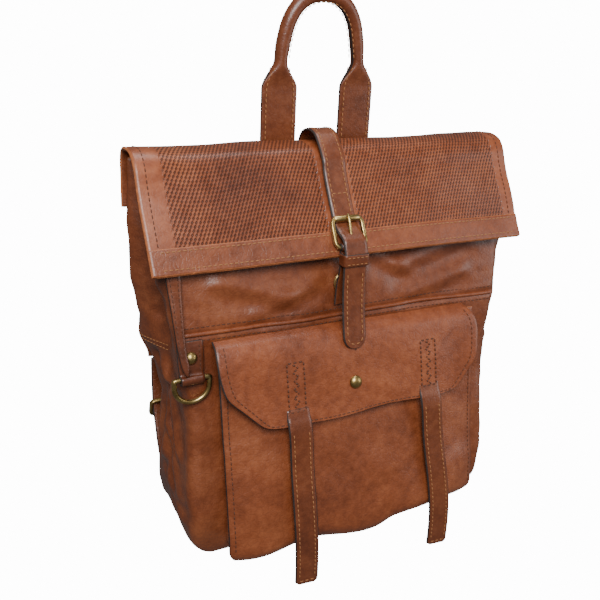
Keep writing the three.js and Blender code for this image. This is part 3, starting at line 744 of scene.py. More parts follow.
def drape_flap(grid):
    """The slack of the flap: a wavy fold and hem, dents near the ends and a soft lower end behind."""
    x, y, z = grid[..., 0].copy(), grid[..., 1], grid[..., 2]
    normal = grid_normals(grid, False)
    normal = normal * np.sign(normal[80, 60, 2] or 1)
    run = run_lengths(grid, 1)
    total = run[0, -1]
    fold_at = 1 - fade(np.abs(run - 74), 8, 34)
    push = ripple(grid, 60, 11, (1.3, 1, 1)) * 1.1 + ripple(grid, 24, 12, (1.4, 1, 1)) * 0.45
    push += fold_at * (np.sin(x / 41.0) * 0.9 - 1.0)
    hem = fade(run, total - 50, total)
    push += hem * np.sin(x / 52.0 + 0.8) * 1.5
    near_end = fade(np.abs(x), 118, FLAP_HALF)
    push += near_end * fold_at * 2.0
    back = 1 - fade(run, 8, 34)
    push += back * np.sin(x / 17.0) * 0.7
    grid = grid + normal * push[..., None]
    grid[..., 2] += back * np.sin(x / 23.0 + 1) * 1.2
    grid[..., 0] += hem * np.sign(x) * -0.8 * near_end
    return grid


def flap_grid(half=FLAP_HALF, count=190, begin=0.0):
    line = curve(flap_path(), 150)
    line = line[int(begin * 149):]
    grid = np.zeros((count, len(line), 3))
    grid[..., 0] = np.linspace(-half, half, count)[:, None]
    grid[..., 1:] = line[None]
    return grid


def on_the_flap(obj):
    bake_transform(obj)
    return obj


cover_grid = drape_flap(flap_grid())
# the flap's underside takes the darker leather copy, painted shade
cover = sheet("flap_cover", cover_grid, 3.0, [WOVEN, RAW, SHADED_HIDE], flip=True, roll=0.35)
shift = np.zeros((len(cover.data.loops), 2), np.float32)
cover.data.uv_layers["cut"].data.foreach_get("uv", shift.ravel())
across = shift[:, 0] - FLAP_HALF * MM
cut_uv = np.stack([across, shift[:, 1]], -1).astype(np.float32)
cover.data.uv_layers["cut"].data.foreach_set("uv", cut_uv.ravel())
on_the_flap(cover)
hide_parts("top_flap", "flap_back_yoke")

cover_normal = grid_normals(cover_grid, False)
if cover_normal[80, 120, 1] > 0:
    cover_normal = -cover_normal
under_grid = (cover_grid - cover_normal * 3.5)[4:-4, 6:-2]
under = sheet("flap_lining", under_grid, 0.7, [LINING, LINING, LINING], flip=True)
on_the_flap(under)
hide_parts("top_flap_lining")

run = run_lengths(cover_grid, 1)[95]
hem_start = int(np.searchsorted(run, run[-1] - 18.5))
band_grid = (cover_grid + cover_normal * 1.0)[:, hem_start:]
band = sheet("hem_band", band_grid, 1.1, [LEATHER, RAW, LEATHER], flip=True)
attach(band, "top_flap")
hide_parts("flap_hem_band")

raised = band_grid + cover_normal[:, hem_start:] * 0.1
hem_rows = [(raised[4:-4, 2], cover_normal[4:-4, hem_start + 2]),
            (raised[4:-4, -4], cover_normal[4:-4, -4])]
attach(stitches("hem_stitches", hem_rows), "top_flap")
edge_rows = []
for k in (4, -5):
    edge_rows.append(((cover_grid + cover_normal * 0.1)[k, 6:hem_start], cover_normal[k, 6:hem_start]))
on_the_flap(stitches("flap_edge_stitches", edge_rows, DARK_THREAD))


# ---- Closing strap, buckle and keeper ----
def edge_pair(grid, inset, begin=0.0, finish=1.0, flip=False, rise=0.1):
    """Stitch runs a short way in from both edges of a strip."""
    width = np.linalg.norm(grid[-1, grid.shape[1] // 2] - grid[0, grid.shape[1] // 2])
    share = inset / width
    return [seam_on(grid, at_u=u, start=begin, end=finish, flip=flip, rise=rise)
            for u in (share, 1 - share)]


def strap_piece(name, grid, thick, flip=False, edge=None):
    return sheet(name, grid, thick, [STRAP_HIDE, edge or PAINT, FLESH], flip=flip, roll=0.4)


front_path = [(38.2, -60), (38.0, -40), (37.8, -14), (36.5, -2), (31, 7.5), (20, 12), (9, 11.6), (1, 7.0),
              on_flap(10, 6.2), on_flap(20, 4.4), on_flap(38, 3.5), on_flap(56, 3.3), on_flap(62, 4.3),
              on_flap(67, 6.6), on_flap(72, 10.4), on_flap(77, 12.4), (-52.7, -70), (-52.8, -74)]
front_strap = strip(front_path, STRAP_WIDTH, STRAP_X, along=170)
front_strap[..., 0] += 0.7 * np.sin(run_lengths(front_strap, 1) / 26.0)
top_piece = strap_piece("closing_strap_upper", front_strap, 2.4, flip=True)
on_the_flap(top_piece)
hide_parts("closing_strap", "closing_strap_back")

tail_path = [(-52.8, -73.4), (-52.8, -82), (-53.6, -100), (-56.9, -122), (-61.7, -143)]
tail_grid = round_tip(strip(tail_path, STRAP_WIDTH, STRAP_X, across=13, along=70), STRAP_X, 11)
tail_piece = strap_piece("closing_strap_tail", tail_grid, 2.4, flip=True)
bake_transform(tail_piece)
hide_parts("strap_tail")
tail_rows = edge_pair(tail_grid, 2.6, 0.16, 0.86, flip=True)
turn = np.linspace(0, math.pi, 24)
tip = np.stack([STRAP_X - 6.4 * np.cos(turn), np.full(24, 0.0), -134.5 - 5.2 * np.sin(turn)], -1)
tip[:, 1] = np.interp(-tip[:, 2], [122, 143], [-56.9, -61.7]) - 0.1
tail_rows.append((tip, (0, -1, 0.15)))
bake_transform(stitches("tail_stitches", tail_rows))

rows = edge_pair(front_strap, 2.6, 0.03, 0.80, flip=True)
for s in (37, 55):
    k = int(np.argmin(np.abs(front_strap[4, 60:, 2] - on_flap(s, 3.4)[1]))) + 60
    normal = -grid_normals(front_strap, False)[:, k]
    rows.append((front_strap[1:-1, k] + normal[1:-1] * 0.1, normal[1:-1]))
on_the_flap(stitches("closing_strap_stitches", rows))

HEEL = on_flap(79, 5.8)


def by_buckle(points):
    """Buckle points, with +Y up the flap and +Z out from it about the heel bar, in drawing mm."""
    points = np.asarray(points, float)
    turned = points.copy()
    turned[..., 0] = points[..., 0] + STRAP_X
    turned[..., 1] = HEEL[0] + points[..., 1] * math.cos(FLAP_LEAN) - points[..., 2] * math.sin(FLAP_LEAN)
    turned[..., 2] = HEEL[1] + points[..., 1] * math.sin(FLAP_LEAN) + points[..., 2] * math.cos(FLAP_LEAN)
    return turned


def rounded_loop(width, low, high, radius, steps=7):
    corners = [(width / 2 - radius, low + radius, -90), (width / 2 - radius, high - radius, 0),
               (-width / 2 + radius, high - radius, 90), (-width / 2 + radius, low + radius, 180)]
    run = []
    for cx, cy, start in corners:
        for a in np.radians(np.linspace(start, start + 90, steps)):
            run.append((cx + radius * math.cos(a), cy + radius * math.sin(a)))
    return np.array(run)


def bar_loop(name, outline, depth, width, place, materials):
    """A cast frame: a softened square bar carried round a closed outline that lies in its own plane."""
    n = len(outline)
    forward = np.roll(outline, -1, 0) - np.roll(outline, 1, 0)
    forward /= np.linalg.norm(forward, axis=1, keepdims=True)
    outward = np.stack([forward[:, 1], -forward[:, 0]], -1)
    angle = np.linspace(0, 2 * math.pi, 16, endpoint=False)
    ring = np.stack([np.sign(np.cos(angle)) * np.abs(np.cos(angle)) ** 0.62,
                     np.sign(np.sin(angle)) * np.abs(np.sin(angle)) ** 0.62], -1)
    verts = np.zeros((n, 16, 3))
    for k in range(n):
        verts[k, :, :2] = outline[k] + outward[k] * ring[:, :1] * width / 2
        verts[k, :, 2] = ring[:, 1] * depth / 2
    ids = np.arange(n * 16).reshape(n, 16)
    nxt = np.roll(ids, -1, 1)
    faces = np.stack([ids, np.roll(ids, -1, 0), np.roll(nxt, -1, 0), nxt], -1).reshape(-1, 4)
    return make_mesh(name, at(place(verts.reshape(-1, 3))), faces, materials, sharp=40)


frame_piece = bar_loop("buckle_frame_cast", rounded_loop(25.4, -0.6, 22.2, 5), 3.2, 3.1, by_buckle, [BRASS])
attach(frame_piece, "buckle_frame")
heel_bar = tube("buckle_heel_bar", by_buckle([(-12, 0, 0), (0, 0, 0), (12, 0, 0)]), 1.3, [BRASS])
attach(heel_bar, "buckle_frame")
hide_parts("buckle_frame")

ends = np.array([-10.9, -10.6, -9.8, -9.6, 9.6, 9.8, 10.6, 10.9])
roller = lathe("buckle_roller_tube", list(zip([0.9, 2.2, 2.45, 2.55, 2.55, 2.45, 2.2, 0.9], ends)),
               by_buckle([(0, 21.5, 0)])[0], (1, 0, 0), [BRASS], sides=28)
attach(roller, "buckle_roller")
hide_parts("buckle_roller")

prong_line = [(0, -1.9, 0.6), (0, -0.4, 2.1), (0, 1.9, 1.9), (0, 10, 2.6), (0, 17, 3.6), (0, 21.5, 3.9),
              (0, 24.0, 3.5)]
prong_radii = [1.3] * 22 + list(np.linspace(1.3, 0.9, 8))
prong = tube("buckle_prong_pin", by_buckle(prong_line), prong_radii, [BRASS], sides=12, count=30)
eye_ring = [(0, 2.1 * math.cos(a), 2.1 * math.sin(a)) for a in np.linspace(0, 2 * math.pi, 10)[:-1]]
eye = tube("buckle_prong_eye", by_buckle(eye_ring), 0.95, [BRASS], closed=True)
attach(prong, "buckle_prong")
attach(eye, "buckle_prong")
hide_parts("buckle_prong")

loop = [(HEEL[0] + 3.2 * math.sin(a), HEEL[1] + 3.2 * math.cos(a))
        for a in np.radians([20, -30, -80, -130, -170])]
under_path = loop + [(-45.4, -71.6), (-45.9, -79), (-44.6, -88), (-42.4, -97), (-41.4, -113)]
heel_grid = strip(under_path, STRAP_WIDTH, STRAP_X, along=70)
heel_strap = strap_piece("buckle_strap_leather", heel_grid, 1.9, flip=True)
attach(heel_strap, "top_flap")
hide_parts("buckle_strap")

ring = rounded_loop(21.6, -54.7, -43.6, 2.6)
keeper_grid = np.zeros((len(ring), 9, 3))
keeper_grid[..., 0] = ring[:, :1] + STRAP_X
keeper_grid[..., 1] = ring[:, 1:]
keeper_grid[..., 2] = np.linspace(-69.6, -78.4, 9)[None]
swell = 0.35 * np.sin(np.linspace(0, math.pi, 9))
keeper_grid[..., 1] -= swell * (ring[:, 1:] < -50)
keeper = sheet("keeper_loop", keeper_grid, 1.4, [STRAP_HIDE, PAINT, FLESH], wrap=True, flip=True, roll=0.35)
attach(keeper, "top_flap")
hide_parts("strap_keeper")
keeper_rows = [(np.array([(STRAP_X + x, -55.3, z) for x in np.linspace(-9, 9, 8)]), (0, -1, 0))
               for z in (-71.4, -76.6)]
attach(stitches("keeper_stitches", keeper_rows, pitch=3.2, length=2.2, thick=0.36), "top_flap")

for node, y, out in (("magnetic_snap_socket", -36.5, 1), ("magnetic_snap_stud", -39.9, -1)):
    face = [(0.1, -1.2), (8.2, -1.2), (8.9, -0.7), (8.9, 0.7), (8.2, 1.2), (5.4, 1.2), (5.0, 0.7), (0.1, 0.7)]
    disc = lathe(node + "_disc", face, (STRAP_X, y, -97), (0, out * -1, 0), [BRASS])
    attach(disc, "root" if out > 0 else "top_flap")
    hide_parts(node)


# ---- Front pocket ----
POCKET_FRONT = [(-132, -47.5), (-165, -55), (-197, -63), (-240, -73.5), (-284, -83), (-297, -82), (-303, -76)]
POCKET_LOW = -303.0
POCKET_CORNER = 17.0
POCKET_SAG = [(-116, -6.5), (-80, -4), (-40, 2), (9, -4), (33, 5), (63, 8), (95, 5), (116, 2)]


def pocket_half(z):
    """Half width of the pocket at a height, drawn in at its rounded lower corners."""
    t = np.clip((POCKET_LOW + POCKET_CORNER - z) / POCKET_CORNER, 0, 0.93)
    return POCKET_HALF - POCKET_CORNER + POCKET_CORNER * np.sqrt(1 - t * t)


def pocket_face(columns=110, levels=100):
    line = curve(POCKET_FRONT, levels)
    grid = np.zeros((columns, levels, 3))
    u = np.linspace(-1, 1, columns)
    half = pocket_half(line[:, 0])
    grid[..., 0] = u[:, None] * half[None]
    edge = np.abs(u[:, None]) ** 6
    drop = fade(-line[:, 0], 150, 260)
    belly = (1 - u[:, None] ** 2) * (3.0 * drop[None]) - 2.0
    grid[..., 1] = line[None, :, 1] + edge * 7.0 * drop[None] - belly
    grid[..., 2] = line[None, :, 0]
    x, z = grid[..., 0], grid[..., 2]
    push = ripple(grid, 52, 21, (1.2, 1, 0.9)) * 2.0 * drop + ripple(grid, 22, 22, (1.1, 1, 1.2)) * 0.6 * drop
    push += 1.2 * drop * np.sin(x / 33.0 + 0.4) * fade(-z, 230, 290)
    grid[..., 1] -= push
    drop_line = curve(POCKET_SAG, 80)
    hang = np.interp(x, drop_line[:, 0], drop_line[:, 1])
    grid[..., 2] += fade(-z, 215, 303) * (hang + 0.7 * np.sin(x / 11.0))
    return grid


face_grid = pocket_face()
pocket = sheet("pocket_front_soft", face_grid, 2.0, [LEATHER, PAINT, LINING], flip=True, roll=0.45)
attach(pocket, "root")
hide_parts("pocket_front")

rim_line = np.concatenate([face_grid[1, 2:, :], face_grid[2:-2, -1], face_grid[-2, ::-1][:-2]])
rim_line = curve(rim_line[::4], 170)
middle = np.array([0, 0, -215.0])
depth_steps = np.linspace(0, 1, 14)
wall = np.zeros((len(rim_line), 14, 3))
for k, point in enumerate(rim_line):
    back_y = front_of_body(float(np.clip(point[0], -138, 138)), max(point[2], -300)) - 0.3
    to_middle = middle - point
    to_middle[1] = 0
    if abs(point[0]) > POCKET_HALF - POCKET_CORNER and point[2] > POCKET_LOW + POCKET_CORNER:
        to_middle[2] = 0
    elif abs(point[0]) < POCKET_HALF - POCKET_CORNER:
        to_middle[0] = 0
    to_middle /= np.linalg.norm(to_middle)
    gap = back_y - point[1]
    tuck = min(5.0, 0.32 * abs(gap))
    wall[k, :, 1] = point[1] + 0.6 + (gap - 0.6) * depth_steps
    for axis in (0, 2):
        wall_inset = 1.4 + tuck * (1 - np.abs(2 * depth_steps - 1) ** 1.5)
        wall[k, :, axis] = point[axis] + to_middle[axis] * wall_inset
wall += ripple(wall, 20, 23)[..., None] * (0.5, 0, 0.5)
# the bellows take the darker leather copy, painted shade
bellows = sheet("pocket_bellows", wall, 1.4, [SHADED_HIDE, SHADED_HIDE, LINING], flip=True)
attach(bellows, "root")
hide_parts("pocket_bellows_left", "pocket_bellows_right", "pocket_base")

hem_rows_at = int(0.085 * face_grid.shape[1])
face_normal = grid_normals(face_grid, False)
if face_normal[50, 20, 1] > 0:
    face_normal = -face_normal
hem_grid = (face_grid + face_normal * 0.9)[:, :hem_rows_at + 2]
hem_grid[:, 0, 2] += 0.8
hem_piece = sheet("pocket_hem_band", hem_grid, 0.9, [LEATHER, RAW, LEATHER], flip=True)
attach(hem_piece, "root")
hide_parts("pocket_hem")
outer_rim = face_grid + face_normal * 0.1
rows = [(outer_rim[2, hem_rows_at + 3:90], face_normal[2, hem_rows_at + 3:90]),
        (outer_rim[-3, hem_rows_at + 3:90], face_normal[-3, hem_rows_at + 3:90]),
        ((face_grid + face_normal)[2:-2, hem_rows_at], face_normal[2:-2, hem_rows_at])]
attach(stitches("pocket_stitches", rows, DARK_THREAD), "root")

# ---- Pocket flap ----
LID_LEFT = [(-126.6, -117.5), (-138, -118), (-150, -117), (-161, -114.5), (-166, -112), (-170, -108.5),
            (-178, -100), (-186, -91.5), (-190, -86.5), (-192.4, -80), (-193.6, -70)]
LID_RIGHT = [(-126.6, 103), (-132, 108), (-140, 111), (-152, 110.5), (-163, 109), (-169, 107), (-173, 104),
             (-181, 97.5), (-188, 91.5), (-191.5, 86), (-193.6, 74)]
POCKET_FLAP = [(-126.6, -44.2), (-131, -52.4), (-140, -57.5), (-160, -62.6), (-180, -67.5), (-193.6, -71.0)]


def pocket_flap_face(columns=120, levels=84):
    line = curve(POCKET_FLAP, levels)
    low, high = [along_z(table, line[:, 0]) for table in (LID_LEFT, LID_RIGHT)]
    u = np.linspace(0, 1, columns)
    grid = np.zeros((columns, levels, 3))
    grid[..., 0] = low[None] + u[:, None] * (high - low)[None]
    grid[..., 1] = line[None, :, 1]
    grid[..., 2] = line[None, :, 0]
    x, z = grid[..., 0], grid[..., 2]
    free = fade(-z, 130, 165)
    push = ripple(grid, 58, 31, (1.4, 1, 0.9)) * 1.1 * free + ripple(grid, 20, 32, (1.2, 1, 1)) * 0.35
    push += 2.4 * fade(np.abs(x + 4), 85, 116) * free - 0.8 * bump_at(np.hypot(x - STRAP_X, z + 170), 0, 15)
    grid[..., 1] -= push
    grid[..., 2] += fade(-z, 170, 194) * (1.1 * np.sin(x / 27.0) + 0.5 * np.sin(x / 12.0))
    return grid


def on_pocket_flap(obj):
    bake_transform(obj)
    return obj


lid_grid = pocket_flap_face()
# the pocket flap's face takes the lighter leather copy, painted light
lid = sheet("pocket_flap_soft", lid_grid, 1.9, [LIT_LID_HIDE, PAINT, FLESH], flip=True, roll=0.5)
on_pocket_flap(lid)
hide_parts("pocket_flap")
lid_normal = grid_normals(lid_grid, False)
if lid_normal[60, 40, 1] > 0:
    lid_normal = -lid_normal
back_grid = (lid_grid - lid_normal * 2.2)[4:-4, 9:-4]
backing = sheet("pocket_flap_backing", back_grid, 0.6, [LINING, LINING, LINING], flip=True)
on_pocket_flap(backing)
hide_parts("pocket_flap_lining")
border = np.concatenate([lid_grid[3, 8:-3], lid_grid[4:-4, -3], lid_grid[-4, ::-1][2:-8]])
border_normal = np.concatenate([lid_normal[3, 8:-3], lid_normal[4:-4, -3], lid_normal[-4, ::-1][2:-8]])
on_pocket_flap(stitches("pocket_flap_stitches", [(border + border_normal * 0.1, border_normal)], DARK_THREAD))


def lid_y(x, z):
    """y of the pocket flap's face at a place."""
    gap = (lid_grid[..., 0] - x) ** 2 + (lid_grid[..., 2] - z) ** 2
    weight = 1 / (gap + 0.4) ** 2
    return float((weight * lid_grid[..., 1]).sum() / weight.sum())


cap_profile = [(0.1, -1.0), (4.6, -1.0), (5.2, -0.5), (5.35, 0.1), (5.2, 0.7), (4.7, 1.4), (3.8, 2.2),
               (2.5, 2.85),
               (1.2, 3.15), (0.05, 3.25)]
stud = lathe("pocket_snap_dome", cap_profile, (STRAP_X, lid_y(STRAP_X, -170) - 0.2, -170), (0, -0.97, 0.24),
             [BRASS])
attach(stud, "pocket_flap")
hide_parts("pocket_snap_cap")
socket = lathe("pocket_snap_ring",
               [(0.1, -0.8), (5.6, -0.8), (6, -0.3), (6, 0.3), (5.4, 0.8), (3.4, 0.8), (3, 0.1), (0.1, 0.1)],
               (STRAP_X, -57.1, -170), (0, -1, 0), [BRASS])
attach(socket, "root")
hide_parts("pocket_snap_socket")

# ---- Hanging straps below the pocket flap ----
HANG_FREE = [(-73.0, -192), (-75.6, -202), (-79.0, -230), (-86.0, -262), (-89.4, -285), (-90.2, -310),
             (-89.6, -331)]
HANGERS = {"left": (-58.0, 4.0), "right": (61.0, 11.0)}
for name, (x0, drift) in HANGERS.items():
    hang = strip([(-68.4, -182), (-70.8, -188)] + HANG_FREE, STRAP_WIDTH, x0, along=90)
    k_low = run_lengths(hang, 1)[4]
    swing = fade(k_low, 6, 130)
    hang[..., 1] -= swing * (hang[..., 0] - x0) * 0.06
    corner = np.clip((k_low - (k_low[-1] - 3.5)) / 3.5, 0, 1)
    hang[..., 0] = x0 + (hang[..., 0] - x0) * (1 - (1 - np.sqrt(1 - 0.96 * corner ** 2)) * 0.34)
    hang[..., 0] += swing * drift + 0.8 * np.sin(k_low / 21.0)
    strap = strap_piece(f"hanging_strap_{name}_soft", hang, 2.4, flip=True)
    turn = (bend_at(-72.3, -188), bend_at(-74.6, -199))
    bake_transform(strap)
    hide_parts(f"hanging_strap_{name}", f"hanging_strap_root_{name}")
    rows = edge_pair(hang, 2.5, 0.13, 0.965, flip=True)
    foot = -grid_normals(hang, False)[:, -3]
    rows.append((hang[1:-1, -3] + foot[1:-1] * 0.1, foot[1:-1]))
    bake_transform(stitches(f"hanging_strap_{name}_stitches", rows))
    # the box of stitching that holds the strap behind the flap
    box = []
    for dx in (-7, 7):
        box.append([(x0 + dx, z) for z in np.linspace(-147, -184, 12)])
    zig = [(x0 + (2.6 if i % 2 else -2.6), -148 - i * 3.2) for i in range(12)]
    box.append(zig)
    box.append([(x0 + dx, -147) for dx in np.linspace(-7, 7, 6)])
    box.append([(x0 + dx, -184) for dx in np.linspace(-7, 7, 6)])
    rows = [(np.array([(x, lid_y(x, z) - 0.15, z) for x, z in run_points]), (0, -0.97, 0.2))
            for run_points in box]
    on_pocket_flap(stitches(f"strap_box_{name}", rows, DARK_THREAD, pitch=3.6, length=2.5, thick=0.7))


# ---- Side tabs, rivets, rings and straps ----
RING_Z = -153.0
TAB_PATH = [(-41.6, -125.4), (-43.8, -134), (-45.6, -145), (-46.4, -149.2), (-49.6, -150.4), (-50.4, -153.4),
            (-48.6, -156.6), (-45.4, -157), (-43.0, -154.6), (-42.6, -150), (-42.4, -142)]
tab_grid = strip(TAB_PATH, 19, RING_X, across=11, along=80)
share = fade(run_lengths(tab_grid, 1)[5], 15, 30)
tab_grid[..., 0] = RING_X + (tab_grid[..., 0] - RING_X) * (1 - 0.12 * share)
tab = strap_piece("ring_tab_soft", tab_grid, 1.5, flip=True)
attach(tab, "root")
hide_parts("ring_tab")
rows = edge_pair(tab_grid, 2.4, 0.04, 0.42, flip=True)
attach(stitches("ring_tab_stitches", rows, DARK_THREAD, pitch=3.4, length=2.4), "root")
rivet_profile = [(0.1, -0.9), (4.4, -0.9), (4.75, -0.4), (4.75, 0.1), (4.35, 0.8), (3.5, 1.7), (2.3, 2.4),
                 (1.1, 2.75), (0.05, 2.85)]
rivet = lathe("tab_rivet_dome", rivet_profile, (RING_X, -45.0, -137), (0, -0.98, 0.18), [BRASS])
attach(rivet, "root")
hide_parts("tab_rivet")
RING_RADIUS, RING_LEG = 13.4, 5.0
bow = [(-RING_RADIUS, 0), (-RING_RADIUS, -RING_LEG / 2)]
bow += [(-RING_RADIUS * math.cos(a), -RING_LEG - RING_RADIUS * math.sin(a))
        for a in np.linspace(0, math.pi, 15)]
bow += [(RING_RADIUS, -RING_LEG / 2), (RING_RADIUS, 0)] + [(dx, 0.6) for dx in (10, 4, -4, -10)]
dee = tube("side_ring_dee", [(RING_X + dx, -46.4, RING_Z + dz) for dx, dz in bow], 1.95, [BRASS], sides=16,
           closed=True, count=110)
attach(dee, "side_ring")
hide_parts("side_ring")

SIDE_FACE = [(-24.5, -57), (-34.5, -74), (-38.0, -88), (-42.4, -104), (-47.0, -124), (-50.4, -137),
             (-52.4, -147)]
SIDE_EDGES = [(-56, -150, -140), (-77, -148.5, -138.2), (-95, -147, -138.6), (-112, -145.8, -138.8),
              (-130, -144.2, -138.4), (-141, -142.4, -137.0), (-145, -141.0, -137.6),
              (-147.2, -139.8, -138.4)]
line = curve(SIDE_FACE, 90)
near, far = [along_z([(row[0], row[k]) for row in SIDE_EDGES], line[:, 1]) for k in (1, 2)]
u = np.linspace(0, 1, 9)[:, None]
grid = np.zeros((9, 90, 3))
grid[..., 0] = near * (1 - u) + far * u
grid[..., 1] = line[:, 0] + 0.7 * (2 * u - 1) ** 2
grid[..., 2] = line[:, 1]
strap = strap_piece("side_strap_soft", grid, 1.9, flip=True)
turn = (bend_at(-34, -72), bend_at(-36, -82))
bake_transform(strap)
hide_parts("side_strap", "side_strap_root")
rows = edge_pair(grid, 1.7, 0.1, 0.84, flip=True)
side_seams = stitches("side_strap_stitches", rows, DARK_THREAD, pitch=3.6, length=2.5, thick=0.34)
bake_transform(side_seams)

# ---- Handle: flat legs that fold into a round grip ----
HANDLE_X = 34           # each leg's distance from the middle
HANDLE_CENTRE = (0, 34, 60)
LEG = [(-HANDLE_X, 35.8, -46), (-HANDLE_X, 35.9, -20), (-HANDLE_X, 36, 10), (-HANDLE_X, 36, 34),
       (-33.9, 36, 50), (-33.2, 35.9, 63),
       (-31.4, 35.6, 76), (-27.6, 35, 90), (-20.5, 34.5, 101), (-10.5, 34.1, 107.2)]
route = LEG + [(0, 34, 108.6)] + [(-x, y, z) for x, y, z in reversed(LEG)]
line = curve(route, 220)
climb = line[:, 2]
narrow = fade(climb, 40, 60)
narrow = np.maximum(narrow, (np.abs(line[:, 0]) < 30).astype(float))
wide = 15 * (1 - narrow) + 5.9 * narrow
wide -= 0.7 * bump_at(climb, 62, 6) * narrow
deep = 1.8 * (1 - narrow) + 5.8 * narrow
square = 5.0 * (1 - narrow) + 2.0 * narrow
forward = np.gradient(line, axis=0)
forward /= np.linalg.norm(forward, axis=1, keepdims=True)
SIDES = 40
verts, index = [], []
angles = np.linspace(0, 2 * math.pi, SIDES, endpoint=False)
for k in range(len(line)):
    across = np.cross(forward[k], (0, 1, 0))
    across /= np.linalg.norm(across)
    out = np.cross(across, forward[k])
    c, s = np.cos(angles), np.sin(angles)
    px = np.sign(c) * np.abs(c) ** (2 / square[k]) * wide[k]
    py = np.sign(s) * np.abs(s) ** (2 / square[k]) * deep[k]
    inner_side = c if (across @ (line[k] - HANDLE_CENTRE)) < 0 else -c
    groove = np.clip(inner_side, 0, 1) ** 10 * 1.5 * narrow[k]
    pull = 1 - groove / np.maximum(np.hypot(px, py), 1)
    verts.append(line[k] + across * (px * pull)[:, None] - out * (py * pull)[:, None])
verts = np.array(verts)
ids = np.arange(len(line) * SIDES).reshape(-1, SIDES)
nxt = np.roll(ids, -1, 1)
quads = np.stack([ids[:-1], nxt[:-1], nxt[1:], ids[1:]], -1)
paint = np.zeros(quads.shape[:2], int)
mid_angle = (angles + math.pi / SIDES)
for k in range(len(line) - 1):
    edge_amount = np.abs(np.cos(mid_angle))
    across = np.cross(forward[k], (0, 1, 0))
    toward = np.cos(mid_angle) if (across @ (line[k] - HANDLE_CENTRE)) < 0 else -np.cos(mid_angle)
    if narrow[k] > 0.6:
        paint[k] = toward > 0.955
    else:
        paint[k] = (edge_amount > 0.93)
faces = quads.reshape(-1, 4)[:, ::-1].tolist() + [ids[0].tolist(), ids[-1, ::-1].tolist()]
handle = make_mesh("handle_rolled", at(verts.reshape(-1, 3)), faces, [STRAP_HIDE, PAINT],
                   np.concatenate([paint.ravel(), [1, 1]]), sharp=60)
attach(handle, "root")
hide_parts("handle")
rows = []
for side in (-1, 1):
    for dx in (-11.6, 11.6):
        z = np.concatenate([np.linspace(-40, 42, 40), [47, 52, 56]])
        slide = np.interp(z, [40, 47, 52, 56], [1, 0.86, 0.66, 0.5])
        for y, out in ((33.95, -1), (37.65, 1)):
            depth = np.interp(z, [41, 47, 52, 56], [0, 0.35, 1.5, 2.9])
            rows.append((np.stack([side * HANDLE_X + dx * slide, y + out * depth * 0.8, z], -1), (0, out, 0)))
    for y, out in ((33.95, -1), (37.65, 1)):
        for z in (-42,):
            rows.append((np.array([(side * HANDLE_X + dx, y, z) for dx in np.linspace(-11.6, 11.6, 8)]),
                         (0, out, 0)))
for q, out in ((-3.9, -1), (3.9, 1)):
    lean = []
    for k in range(0, len(line), 3):
        if narrow[k] > 0.98 and climb[k] > 62:
            across = np.cross(forward[k], (0, 1, 0))
            across *= -1 if (across @ (line[k] - HANDLE_CENTRE)) > 0 else 1
            lean.append(line[k] + across * 4.9 + np.array((0, q, 0)))
    rows.append((np.array(lean), (0, out, 0)))
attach(stitches("handle_stitches", rows), "root")

# ---- Zip in the mouth ----
ZIP_Z = -31.5
ZIP_HALF = 134
SLIDER_X = -128         # the slider at rest, near the left end
PULLER_Y = 19.2
PULLER_Z = ZIP_Z + 3.7
for name, low, high in (("front", -5.2, 4.0), ("back", 17.4, 26.8)):
    grid = np.zeros((90, 8, 3))
    grid[..., 0] = np.linspace(-ZIP_HALF, ZIP_HALF, 90)[:, None]
    grid[..., 1] = np.linspace(low, high, 8)[None]
    grid[..., 2] = ZIP_Z + 0.5 + 0.4 * np.sin(grid[..., 0] / 19)
    tape = sheet(f"zip_tape_{name}_cloth", grid, 0.9, [TAPE, TAPE, TAPE])
    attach(tape, "root")
    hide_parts(f"zip_tape_{name}")
    edge = high if name == "front" else low
    sign = 1 if name == "front" else -1
    verts, faces = [], []
    tooth = np.array([(-0.6, -1.2, -0.9), (0.6, -1.2, -0.9), (0.6, 0.4, -0.9), (-0.6, 0.4, -0.9),
                      (-0.6, -1.2, 0.9), (0.6, -1.2, 0.9), (0.35, 1.3, 0.5), (-0.35, 1.3, 0.5)])
    for k in range(134):
        spot = (-132.6 + 2.0 * k, edge, ZIP_Z)
        base = len(verts)
        verts += (tooth * (1, sign, 1) + spot).tolist()
        block = [(0, 3, 2, 1), (4, 5, 6, 7), (0, 1, 5, 4), (1, 2, 6, 5), (2, 3, 7, 6), (3, 0, 4, 7)]
        faces += [[base + i for i in (face if sign > 0 else face[::-1])] for face in block]
    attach(make_mesh(f"zip_teeth_{name}", at(verts), faces, [BRASS], sharp=20), "root")

slider_outline = [(5.2, -3.4), (5.6, -1.0), (5.0, 1.6), (3.2, 4.6), (0.8, 5.6)]
plate = np.array(slider_outline + [(-x, y) for x, y in reversed(slider_outline)])
verts, faces = [], []
for low, high in ((-2.0, -0.8), (0.8, 2.0)):
    base = len(verts)
    n = len(plate)
    for z, scale in ((low, 0.93), (low + 0.25, 1), (high - 0.25, 1), (high, 0.93)):
        verts += [(SLIDER_X + x * scale, 17.4 + y * scale, ZIP_Z + z) for x, y in plate]
    for ring in range(3):
        for q in range(n):
            r = (q + 1) % n
            low_ring = base + ring * n
            high_ring = low_ring + n
            faces.append([low_ring + q, low_ring + r, high_ring + r, high_ring + q])
    faces.append([base + q for q in range(n - 1, -1, -1)])
    faces.append([base + 3 * n + q for q in range(n)])
slider = make_mesh("zip_slider_plates", at(verts), faces, [BRASS], sharp=30)
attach(slider, "zip_slider")
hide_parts("zip_slider")
bail_path = [(SLIDER_X, y, ZIP_Z + lift)
             for y, lift in ((17.3, 1.7), (17.3, 3.6), (19.1, 4.1), (21.0, 3.6), (21.0, 1.7))]
bail = tube("zip_slider_bail", bail_path, 0.5, [BRASS], sides=8)
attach(bail, "zip_slider")
